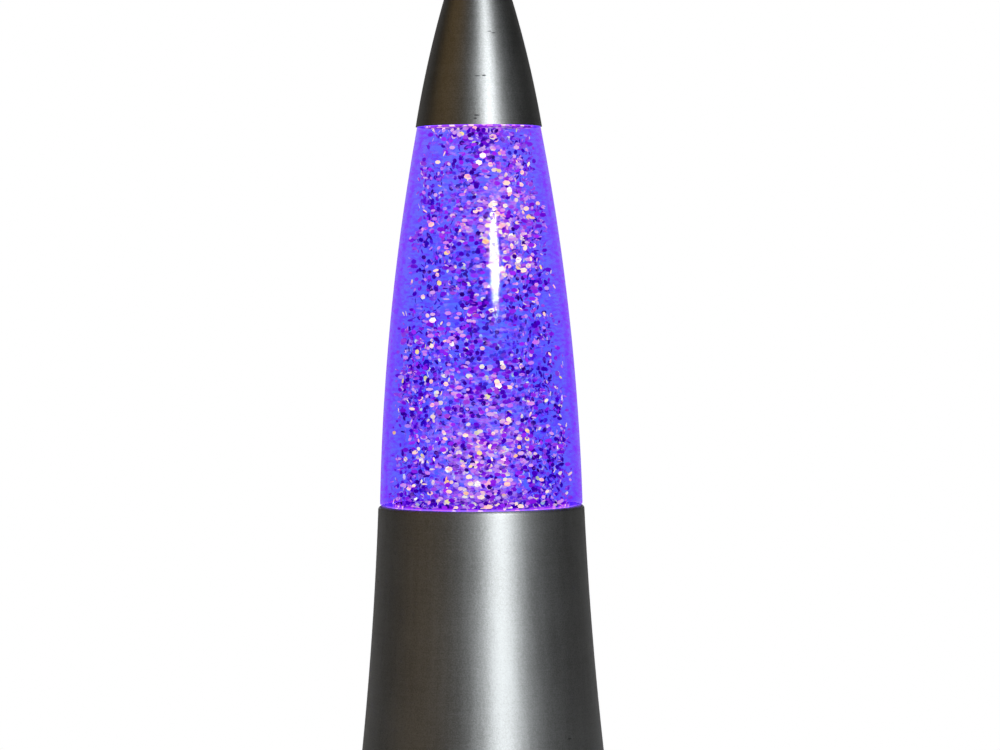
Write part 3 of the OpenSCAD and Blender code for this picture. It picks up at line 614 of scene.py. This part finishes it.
def make_gland(rubber):
    """The rubber bush in the base's back: two rounded flanges round a neck, and a bore with soft lips."""
    (low, high), (wide, thick), soft = GLAND_Y, GLAND_FLANGE, LIP_ROUND
    outline = arc((GLAND_BORE_R + soft, low + soft), soft, 180, 270, 5)
    outline += arc((wide - soft, low + soft), soft, -90, 0, 5)
    outline += arc((wide - soft, low + thick - soft), soft, 0, 90, 5)
    outline += [(GLAND_NECK_R, low + thick), (GLAND_NECK_R, high - thick)]
    outline += arc((wide - soft, high - thick + soft), soft, -90, 0, 5)
    outline += arc((wide - soft, high - soft), soft, 0, 90, 5)
    outline += arc((GLAND_BORE_R + soft, high - soft), soft, 90, 180, 5)
    outline += outline[:1]
    shape = turned(outline, steps=64)
    turn = Matrix.Translation((0, 0, GLAND_Z * MM)) @ Matrix.Rotation(-math.pi / 2, 4, "X")
    bmesh.ops.transform(shape, matrix=turn, verts=shape.verts)
    piece("gland_bush", shape, "lamp_base", [rubber], ["cord_gland"])


FOOT_RING_R = 46.6
FOOT_R = (5.2, 6.0)
FOOT_H = FEET_HIGH[2]
FOOT_ROUND = 0.9
FOOT_LEAN = 11
FOOT_CUP_R = 2.6
FOOT_CUP_H = 0.6
FOOT_CUP_SLOPE = 0.5
FOOT_CUP_ROUND = 0.3


def make_feet(rubber):
    """Four tapered rubber feet with rounded edges and a moulded hollow underneath."""
    outline = [(0.0, FOOT_CUP_H), (FOOT_CUP_R - FOOT_CUP_SLOPE, FOOT_CUP_H)]
    outline += arc((FOOT_CUP_R + FOOT_CUP_ROUND, FOOT_CUP_ROUND), FOOT_CUP_ROUND, 180, 270, 4)
    outline += arc((FOOT_R[0] - FOOT_ROUND, FOOT_ROUND), FOOT_ROUND, -90, -FOOT_LEAN, 6)
    outline += [(FOOT_R[1], FOOT_H), (0.0, FOOT_H)]
    shape = turned(outline, steps=48)
    bmesh.ops.translate(shape, vec=(FOOT_RING_R * MM, 0, 0), verts=shape.verts)
    bmesh.ops.rotate(shape, cent=(0, 0, 0), matrix=Matrix.Rotation(math.pi / 4, 3, "Z"), verts=shape.verts)
    bmesh.ops.spin(
        shape, geom=shape.verts[:] + shape.edges[:] + shape.faces[:], axis=(0, 0, 1), cent=(0, 0, 0),
        angle=1.5 * math.pi, steps=3, use_duplicate=True,
    )
    piece("foot_pads", shape, "lamp_base", [rubber], ["rubber_feet"])


BULB_NECK = (5.3, BULB_LOW[2])
BULB_SHOULDER_Z = 50.9
BULB_THROAT = (8.2, 53.5)
BULB_BROW = (BULB_HIGH[0], 79.0)
BULB_BULGE = 2.0
BULB_EDGE_Z = 80.35
BULB_EDGE_OUT = 0.25
BULB_FACE_R = 18.6
BULB_TOP_Z = BULB_HIGH[2]
BULB_DOME_H = 12.5
BULB_DOME_R = (BULB_FACE_R**2 + BULB_DOME_H**2) / (2 * BULB_DOME_H)
BULB_WALL = 0.8


def make_bulb(silver, frost):
    """The reflector bulb's glass: silvered sides and a frosted domed face, as one thin shell."""
    dome = (0.0, BULB_TOP_Z - BULB_DOME_R)
    start = 90 - math.degrees(math.asin(BULB_FACE_R / BULB_DOME_R))

    def side(inset):
        neck = [(BULB_NECK[0] - inset, z) for z in (BULB_NECK[1], BULB_SHOULDER_Z)]
        return neck + bow(BULB_THROAT, BULB_BROW, BULB_BULGE, inset, 24)

    def face(inset):
        return arc(dome, BULB_DOME_R - inset, start, 90, 24)

    outside, inside = side(0.0), side(BULB_WALL)
    outer_face, inner_face = face(0.0), face(BULB_WALL)
    edge_r = (outside[-1][0] + outer_face[0][0]) / 2 + BULB_EDGE_OUT
    edge = [outside[-1], (edge_r, BULB_EDGE_Z), outer_face[0]]
    shape = turned(
        outside, edge + outer_face[1:], inner_face[::-1] + inside[-1:], inside[::-1] + outside[:1],
        steps=96, slots=(0, 1, 1, 0),
    )
    piece("bulb_envelope", shape, "reflector_bulb", [silver, frost], ["bulb_glass"])


STEP_GAP = 0.5
STEP_Z = RIM_Z + STEP_GAP
SIDE_LOW = (BOTTLE_HIGH[0], STEP_Z + EDGE_ROUND)
SIDE_TOP = (28.7, CAP_Z)
SIDE_BULGE = 3.5
GLASS = 3.0
PLUG_R = 44.3
BOTTLE_Z = BOTTLE_LOW[2]
STAND_R = 33.3
PUNT = 2.0
FLOOR = 4.0
HEEL = 4.0
STEP_ROUND = 0.5
SHOULDER_ROUND = 6.0
SHOULDER_LEAN = 62.0
ROOT_ROUND = 5.0
NECK_R = 12.6
BEAD_R = 13.3
MOUTH_Z = BOTTLE_HIGH[2]
BEAD_H = 8.0
BEAD_SLOPE = 0.7
LIQUID_GAP = 0.1
LIQUID_Z = LIQUID_HIGH[2]
SIDE = bow(SIDE_LOW, SIDE_TOP, SIDE_BULGE, 0.0, 60)


def lean_of(points):
    """Direction of the outline's outside where a curve ends, in degrees from level."""
    (r0, z0), (r1, z1) = points[-2:]
    return math.degrees(math.atan2(r0 - r1, z1 - z0))


def bottle_side(inset):
    """The bottle's outline from its side up to its neck, inset from the outside."""
    side = bow(SIDE_LOW, SIDE_TOP, SIDE_BULGE, inset, 60)
    start = math.radians(lean_of(bow(SIDE_LOW, SIDE_TOP, SIDE_BULGE, 0.0, 400)))
    shoulder = (
        SIDE_TOP[0] - SHOULDER_ROUND * math.cos(start),
        SIDE_TOP[1] - SHOULDER_ROUND * math.sin(start),
    )
    bend = arc(shoulder, SHOULDER_ROUND, math.degrees(start), SHOULDER_LEAN, 8)
    lean = math.radians(SHOULDER_LEAN)
    root_r = NECK_R + ROOT_ROUND * (1 - math.cos(lean))
    root_low = bend[-1][1] + (bend[-1][0] - root_r) / math.tan(lean)
    root = (NECK_R + ROOT_ROUND, root_low + ROOT_ROUND * math.sin(lean))
    inner_bend = arc(shoulder, SHOULDER_ROUND - inset, math.degrees(start), SHOULDER_LEAN, 8)
    return side + inner_bend[1:] + arc(root, ROOT_ROUND + inset, 180 + SHOULDER_LEAN, 180, 8)


def bottle_cavity(inset):
    """The outline of the bottle's inside, from the axis at the floor up to the neck."""
    rise = inset - GLASS
    corner = (PLUG_R - GLASS - HEEL, BOTTLE_Z + FLOOR + HEEL)
    low = BOTTLE_Z + FLOOR + rise
    points = [(0.0, low + PUNT), (STAND_R, low)]
    points += arc(corner, HEEL - rise, -90, 0, 8)
    return points + [(PLUG_R - inset, SIDE_LOW[1])] + bottle_side(inset)[1:]


def side_radius(height):
    """Outside radius of the bottle at a height above its step."""
    for (r0, z0), (r1, z1) in zip(SIDE, SIDE[1:]):
        if height <= z1:
            return r0 + (r1 - r0) * max(0.0, height - z0) / (z1 - z0)
    return SIDE[-1][0]


def make_bottle():
    """The bottle's glass: a plug, a step on the base's rim, bowed sides, a shoulder and a beaded neck."""
    step = (SIDE_LOW[0] - STEP_ROUND, STEP_Z + STEP_ROUND)
    outside = [(0.0, BOTTLE_Z + PUNT), (STAND_R, BOTTLE_Z)]
    outside += arc((PLUG_R - HEEL, BOTTLE_Z + HEEL), HEEL, -90, 0, 8)
    outside += [(PLUG_R, STEP_Z)] + arc(step, STEP_ROUND, -90, 0, 8)
    outside += bottle_side(0.0)
    outside += [(NECK_R, MOUTH_Z - BEAD_H - BEAD_SLOPE), (BEAD_R, MOUTH_Z - BEAD_H)]
    outside += [(BEAD_R, MOUTH_Z - BEAD_SLOPE), (NECK_R, MOUTH_Z), (NECK_R - GLASS, MOUTH_Z)]
    inside = outside[-1:] + bottle_cavity(GLASS)[::-1]
    shape = turned(outside, inside, slots=(0, 0), mark="outside")
    piece("bottle_glass", shape, "filled_bottle", [bottle_glass()], ["bottle"])


HAZE_Z = (RIM_Z + 3.0, CAP_Z - 2.0)
HAZE_END = 1.0
HAZE_STEPS = 40
OUTER_HAZE = 0.78
INNER_HAZE = 0.55
BED_R = 40.8
BED_Z = (BOTTLE_Z + 5.0, RIM_Z + 0.8)
BED_T = 0.6
CREST_R = 24.9
CREST_Z = CAP_Z - 0.5


def haze_shell(share):
    """A column inside the liquid that keeps to a share of the bottle's radius."""
    low, high = HAZE_Z
    heights = [low + (high - low) * k / HAZE_STEPS for k in range(HAZE_STEPS + 1)]
    column = [(share * side_radius(z), z) for z in heights]
    return [(0.0, low - HAZE_END)] + column + [(0.0, high + HAZE_END)]


def make_liquid():
    """The liquid, with two columns of haze in it and beds of packed flakes at its bottom and top, which glow
    with painted light.
    """
    wetted = bottle_cavity(GLASS + LIQUID_GAP)
    skin = [p for p in wetted if p[1] < LIQUID_Z]
    (r0, z0), (r1, z1) = skin[-1], wetted[len(skin)]
    skin += [(r0 + (r1 - r0) * (LIQUID_Z - z0) / (z1 - z0), LIQUID_Z), (0.0, LIQUID_Z)]
    low, high = BED_Z
    heel = (BED_R - HEEL, low + HEEL)
    bed = [(0.0, low + PUNT), (STAND_R, low)] + arc(heel, HEEL, -90, 0, 6) + [(BED_R, high)]
    bed += [(BED_R - BED_T, high)] + arc(heel, HEEL - BED_T, 0, -90, 6)
    bed += [(STAND_R, low + BED_T), (0.0, low + PUNT + BED_T)]
    crest_top = CREST_Z + BED_T
    crest = [(0.0, CREST_Z), (CREST_R, CREST_Z), (CREST_R, crest_top), (0.0, crest_top)]
    outer_haze_glow = lit_haze(
        "outer_haze_glow", shift=(0, 0, 0), low=(0.3, 0.06, 0.65), high=(0.95, 0.36, 0.9), cover=0.4,
        glow=(0.3, 0.14, 2.0),
    )
    inner_haze_glow = lit_haze(
        "inner_haze_glow", shift=(7, 3, 5), low=(0.6, 0.15, 0.75), high=(1.5, 0.7, 0.95), cover=0.5,
        glow=(2.2, 2.3, 4.0),
    )
    finishes = [violet_liquid(), outer_haze_glow, inner_haze_glow, lit_bed()]
    shape = turned(
        skin, haze_shell(OUTER_HAZE), haze_shell(INNER_HAZE), bed, crest, slots=(0, 1, 2, 3, 3)
    )
    piece("violet_liquid", shape, "filled_bottle", finishes, ["liquid"])


# A colour of flakes: its seed, how many are where, their widths in millimetres and how drawn out they are,
# the painted glow colours of the sides turned inwards and of dull and bright flakes with the strength of that
# glow, how far they keep from the glass, and how far they sway from facing outwards
Flakes = namedtuple("Flakes", "name seed batches size long inward dull bright strength clear sway")
FLAKE_LOW, FLAKE_HIGH = RIM_Z - 6.0, CAP_Z - 1.0
FLAKE_T = 0.15
FLAKE_FACES = 8
FLAKE_SHARP = 20
TURNED_IN = -1.0
BATCH = 40
WALL = "near the wall"
WALL_LAYER = 6.0
FREE_TIP, WALL_TIP, LYING_TIP = 0.4, 0.75, 0.9
WALL_SWAY = 1.7
CLUMP = 13.0
CLUMP_EDGE = (0.0, 0.2)

# Swarms of flakes: the middle, and the spread along each axis
LOW_FRONT = ((-5, -24, 143), (15, 11, 16))
HIGH_RIGHT = ((17, -18, 258), (9, 9, 22))
BACK = ((6, 26, 165), (16, 10, 26))
LEFT = ((-22, 4, 225), (9, 12, 26))
RIGHT = ((27, 4, 160), (9, 12, 22))
SETTLED = ((0, 0, 123), (26, 26, 4))
RISEN = ((0, 0, 295.5), (16, 16, 2))

# Swarms that the haze thickens round, and how far from their middle
HAZE_SWARMS = ((LOW_FRONT[0], (55, 55, 55)), (HIGH_RIGHT[0], (45, 45, 45)), (BACK[0], (50, 50, 50)))

SWARMS = (
    Flakes(
        "navy", seed=1, batches=[(1380, None), (520, WALL), (100, SETTLED)],
        size=(2.1, 2.6), long=(1.0, 1.1), inward=(0.08, 0.0, 0.38), dull=(0.03, 0.0, 0.1),
        bright=(0.16, 0.0, 0.63), strength=1.0, clear=7.6, sway=0.45,
    ),
    Flakes(
        "purple", seed=2, batches=[(800, None), (320, WALL), (240, SETTLED), (25, RISEN)],
        size=(1.9, 2.4), long=(1.1, 1.8), inward=(0.3, 0.02, 0.62), dull=(0.24, 0.0, 0.58),
        bright=(0.8, 0.07, 0.95), strength=1.0, clear=5.0, sway=0.45,
    ),
    Flakes(
        "pink", seed=3,
        batches=[
            (780, None), (480, WALL), (110, LOW_FRONT), (120, HIGH_RIGHT), (50, BACK), (50, LEFT),
            (45, RIGHT), (220, SETTLED), (55, RISEN),
        ],
        size=(1.5, 2.1), long=(1.1, 1.9), inward=(0.42, 0.09, 0.48), dull=(0.6, 0.25, 0.55),
        bright=(1.04, 0.72, 0.5), strength=1.6, clear=4.8, sway=0.4,
    ),
    Flakes(
        "cream", seed=4,
        batches=[
            (230, None), (60, WALL), (85, LOW_FRONT), (85, HIGH_RIGHT), (30, BACK), (30, LEFT),
            (30, RIGHT), (110, SETTLED), (18, RISEN),
        ],
        size=(1.8, 2.7), long=(1.0, 1.6), inward=(0.34, 0.06, 0.32), dull=(1.08, 0.74, 0.26),
        bright=(1.12, 1.06, 0.35), strength=2.1, clear=4.8, sway=0.35,
    ),
    Flakes(
        "white", seed=6, batches=[(45, None), (6, LOW_FRONT), (5, HIGH_RIGHT), (14, SETTLED)],
        size=(2.7, 3.3), long=(1.0, 1.1), inward=(0.3, 0.07, 0.28), dull=(1.1, 1.0, 0.34),
        bright=(1.2, 1.15, 0.44), strength=2.5, clear=5.0, sway=0.3,
    ),
    Flakes(
        "yellow", seed=5,
        batches=[
            (45, None), (16, WALL), (28, LOW_FRONT), (10, HIGH_RIGHT), (10, BACK), (6, LEFT),
            (8, RIGHT), (16, SETTLED),
        ],
        size=(1.8, 2.7), long=(1.0, 1.6), inward=(0.36, 0.06, 0.34), dull=(1.1, 0.86, 0.13),
        bright=(1.1, 1.06, 0.2), strength=1.9, clear=4.8, sway=0.35,
    ),
    Flakes(
        "lilac", seed=7, batches=[(620, WALL)],
        size=(1.1, 1.6), long=(1.1, 1.6), inward=(0.38, 0.02, 0.62), dull=(0.36, 0.02, 0.62),
        bright=(1.0, 0.28, 0.85), strength=1.0, clear=4.2, sway=0.4,
    ),
)


def flake_place(dice, clear, swarm):
    """A place in the liquid clear of the glass: anywhere, near the wall, or near a swarm's middle."""
    while True:
        if swarm in (None, WALL):
            reach = SIDE_LOW[0]
            x, y = dice.uniform(-reach, reach), dice.uniform(-reach, reach)
            z = dice.uniform(FLAKE_LOW, FLAKE_HIGH)
        else:
            middle, spread = swarm
            x, y, z = (dice.gauss(m, s) for m, s in zip(middle, spread))
        wall = (side_radius(z) if z > SIDE_LOW[1] else PLUG_R) - clear
        inner = wall - WALL_LAYER if swarm == WALL else 0.0
        place = Vector((x, y, z))
        thick = swarm not in (None, WALL) or noise.noise(place / CLUMP) > dice.gauss(*CLUMP_EDGE)
        if FLAKE_LOW < z < FLAKE_HIGH and inner <= math.hypot(x, y) < wall and thick:
            return place * MM


def make_flakes(kind):
    """Six-sided flakes of one colour. Each mostly faces outwards and has its own brightness."""
    dice = random.Random(kind.seed)
    shape, few = bmesh.new(), bmesh.new()
    carrier = bpy.data.meshes.new("few_flakes")
    face_out = Matrix.Rotation(math.pi / 2, 4, "Y")
    lit = []
    for count, swarm in kind.batches:
        sway = kind.sway * (WALL_SWAY if swarm == WALL else 1)
        tips = LYING_TIP if swarm in (SETTLED, RISEN) else WALL_TIP if swarm == WALL else FREE_TIP
        for k in range(count):
            place = flake_place(dice, kind.clear, swarm)
            radius = dice.uniform(*kind.size) / 2 * MM
            turn = Matrix.Rotation(math.atan2(place.y, place.x) + dice.gauss(0, sway), 4, "Z")
            tip = Matrix.Rotation(dice.gauss(0, tips), 4, "Y")
            draw = Matrix.Diagonal((1, dice.uniform(*kind.long), 1, 1))
            spin = Matrix.Rotation(dice.uniform(0, 1), 4, "Z")
            bmesh.ops.create_cone(
                few, cap_ends=True, segments=6, radius1=radius, radius2=radius, depth=FLAKE_T * MM,
                matrix=Matrix.Translation(place) @ turn @ tip @ face_out @ draw @ spin,
            )
            # Each flake's painted glint, from dull to bright
            glint = dice.random()
            few.faces.ensure_lookup_table()
            for face in few.faces[-FLAKE_FACES:]:
                lean = (face.calc_center_median() - place).xy.dot(place.xy)
                lit.append(glint if lean > 0 else TURNED_IN)
            if k % BATCH == BATCH - 1 or k == count - 1:
                few.to_mesh(carrier)
                shape.from_mesh(carrier)
                few.clear()
    few.free()
    bpy.data.meshes.remove(carrier)
    foil = flake_foil(kind.name, kind.inward, kind.dull, kind.bright, kind.strength)
    name = "flakes_" + kind.name
    made = piece(name, shape, "filled_bottle", [foil], ["glitter"], FLAKE_SHARP)
    made.data.attributes.new("lit", "FLOAT", "FACE").data.foreach_set("value", lit)


def dress_parts(finishes):
    """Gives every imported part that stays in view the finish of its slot."""
    for row in frame["record"]["subparts"]:
        finish = finishes.get(row["material_slot"])
        if finish:
            materials = frame["nodes"][row["node"]].data.materials
            materials.clear()
            materials.append(finish)


METAL = satin_metal()
RUBBER = moulded("black_rubber", (0.035, 0.035, 0.035), (0.022, 0.022, 0.022), 0.72, 0.0002)
SILVER = silvered_glass()

make_base(METAL)
make_cap(METAL)
make_gland(RUBBER)
make_feet(RUBBER)
make_bulb(SILVER, frosted_face())
make_bottle()
make_liquid()
for kind in SWARMS:
    make_flakes(kind)
dress_parts({
    "steel": plated_steel(),
    "brass": bare_metal("brass_metal", (0.72, 0.53, 0.24), (0.48, 0.33, 0.14)),
    "black_rubber": RUBBER,
    "black_plastic": moulded("black_plastic", (0.042, 0.042, 0.046), (0.03, 0.03, 0.033), 0.5, 0.0002),
    "white_plastic": moulded("white_plastic", (0.86, 0.85, 0.8), (0.78, 0.76, 0.7), 0.42, 0.0001),
    "brown_plastic": moulded("brown_plastic", (0.17, 0.095, 0.05), (0.12, 0.065, 0.035), 0.35, 0.0001),
    "brown_lead": moulded("brown_lead", (0.23, 0.1, 0.05), (0.18, 0.08, 0.04), 0.45, 0.0001),
    "blue_lead": moulded("blue_lead", (0.07, 0.18, 0.52), (0.05, 0.13, 0.4), 0.45, 0.0001),
    "bulb_metal": bare_metal("bulb_metal", (0.74, 0.72, 0.67), (0.55, 0.53, 0.48)),
    "bulb_black": moulded("bulb_black", (0.025, 0.025, 0.026), (0.015, 0.015, 0.016), 0.2, 0.00005),
    "bulb_glass": clear_stem(),
    "filament": hot_wire(),
    "gold_tin": gold_tin(),
})


STAGE_R = 9.0
STAGE_DARK = (0.21, 0.21, 0.21)
STAGE_LIGHT = (0.24, 0.24, 0.24)

# Distances in metres from the axis between which the lamp's shadow fades, and the white that is left in it
SHADOW_FADE = (0.03, 0.088)
SHADOW_WHITE = 0.4

ROOM = (0.022, 0.0203, 0.019)


def make_floor():
    """A floor that is white to the camera and through glass, with a soft shadow round the lamp."""
    shape = bmesh.new()
    bmesh.ops.create_circle(shape, cap_ends=True, segments=96, radius=STAGE_R)
    mesh = bpy.data.meshes.new("floor")
    shape.to_mesh(mesh)
    shape.free()
    finish = Finish("floor", Roughness=0.9)
    mist = finish.place.grain(40, 3)
    finish.set(Base_Color=mist.tint(STAGE_DARK, STAGE_LIGHT))
    away = finish.maker.node("VectorMath", {"operation": "LENGTH"}, {0: finish.place}, "Value")
    seen, through = finish.maker.ray("Is Camera Ray"), finish.maker.ray("Is Transmission Ray")
    glow = finish.maker.node("Emission", None, {"Color": rgba(WHITE), "Strength": 1.0})
    plain = Wire(finish.maker.tree, finish.shader.outputs[0])
    pale = seen * (SHADOW_WHITE + away.ease(*SHADOW_FADE) * (1 - SHADOW_WHITE))
    white = finish.maker.node("MixShader", None, {0: pale.larger(through), 1: plain, 2: glow})
    finish.maker.tree.links.new(white.socket, finish.output.inputs["Surface"])
    mesh.materials.append(finish.material)
    floor = bpy.data.objects.new("floor", mesh)
    bpy.context.scene.collection.objects.link(floor)


def make_world():
    """White to the camera and through glass, and a dim room to all other rays."""
    world = bpy.data.worlds.new("studio")
    world.use_nodes = True
    tree = world.node_tree
    maker = Wire(tree, None)
    seen, through = maker.ray("Is Camera Ray"), maker.ray("Is Transmission Ray")
    room = Wire(tree, tree.nodes["Background"].outputs[0])
    tree.nodes["Background"].inputs["Color"].default_value = rgba(ROOM)
    white = maker.node("Background", None, {"Color": rgba(WHITE), "Strength": 1.0})
    mixed = maker.node("MixShader", None, {0: seen.larger(through), 1: room, 2: white})
    tree.links.new(mixed.socket, tree.nodes["World Output"].inputs["Surface"])
    bpy.context.scene.world = world


LIGHT_AIM = Vector((0, 0, 0.2))


def make_lamp(name, azimuth, elevation, distance, size, power, colour=WHITE):
    """A soft panel that faces the part, placed by its angles from the camera's side."""
    a, e = math.radians(azimuth), math.radians(elevation)
    out = Vector((math.sin(a) * math.cos(e), -math.cos(a) * math.cos(e), math.sin(e)))
    light = bpy.data.lights.new(name, "AREA")
    light.shape = "ELLIPSE"
    light.size, light.size_y = size
    light.energy = power
    light.color = colour
    panel = bpy.data.objects.new(name, light)
    panel.location = LIGHT_AIM + out * distance
    panel.rotation_euler = (-out).to_track_quat("-Z", "Y").to_euler()
    panel.visible_camera = panel.visible_transmission = False
    bpy.context.scene.collection.objects.link(panel)


CAMERA_EYE = Vector((0.0, -1.586, 0.23))
CAMERA_AIM = Vector((0.0091, 0.0, 0.1835))
CAMERA_ROLL = -0.37
CAMERA_LENS = 122.6
CAMERA_SENSOR = 36.0
CAMERA_FAR = 60.0


def make_camera():
    """A long lens a step and a half away, a little above the bottle's middle."""
    camera = bpy.data.objects.new("camera", bpy.data.cameras.new("camera"))
    bpy.context.scene.collection.objects.link(camera)
    camera.data.sensor_width = CAMERA_SENSOR
    camera.data.lens = CAMERA_LENS
    camera.location = CAMERA_EYE
    look = (CAMERA_AIM - CAMERA_EYE).to_track_quat("-Z", "Y")
    roll = Matrix.Rotation(math.radians(CAMERA_ROLL), 4, "Z")
    camera.rotation_euler = (look.to_matrix().to_4x4() @ roll).to_euler()
    camera.data.clip_end = CAMERA_FAR
    bpy.context.scene.camera = camera


make_floor()
make_world()
make_lamp(
    "key", azimuth=20.5, elevation=15.8, distance=1.5, size=(0.34, 0.2), power=33.5, colour=(0.89, 0.955, 1.0)
)
make_lamp(
    "warm_fill", azimuth=-67, elevation=31, distance=1.6, size=(1.9, 1.4), power=2.5, colour=(1.0, 0.62, 0.17)
)
make_lamp("overhead", azimuth=180, elevation=52, distance=1.9, size=(1.2, 1.2), power=5.0)
make_lamp("back", azimuth=180, elevation=21, distance=1.6, size=(0.32, 0.4), power=23.0)
make_lamp("left_wall", azimuth=-145, elevation=8, distance=1.8, size=(1.2, 1.6), power=0.8)
make_lamp("right_wall", azimuth=150, elevation=8, distance=1.8, size=(1.0, 1.6), power=0.4)
make_camera()

bpy.context.scene.view_settings.view_transform = "Standard"
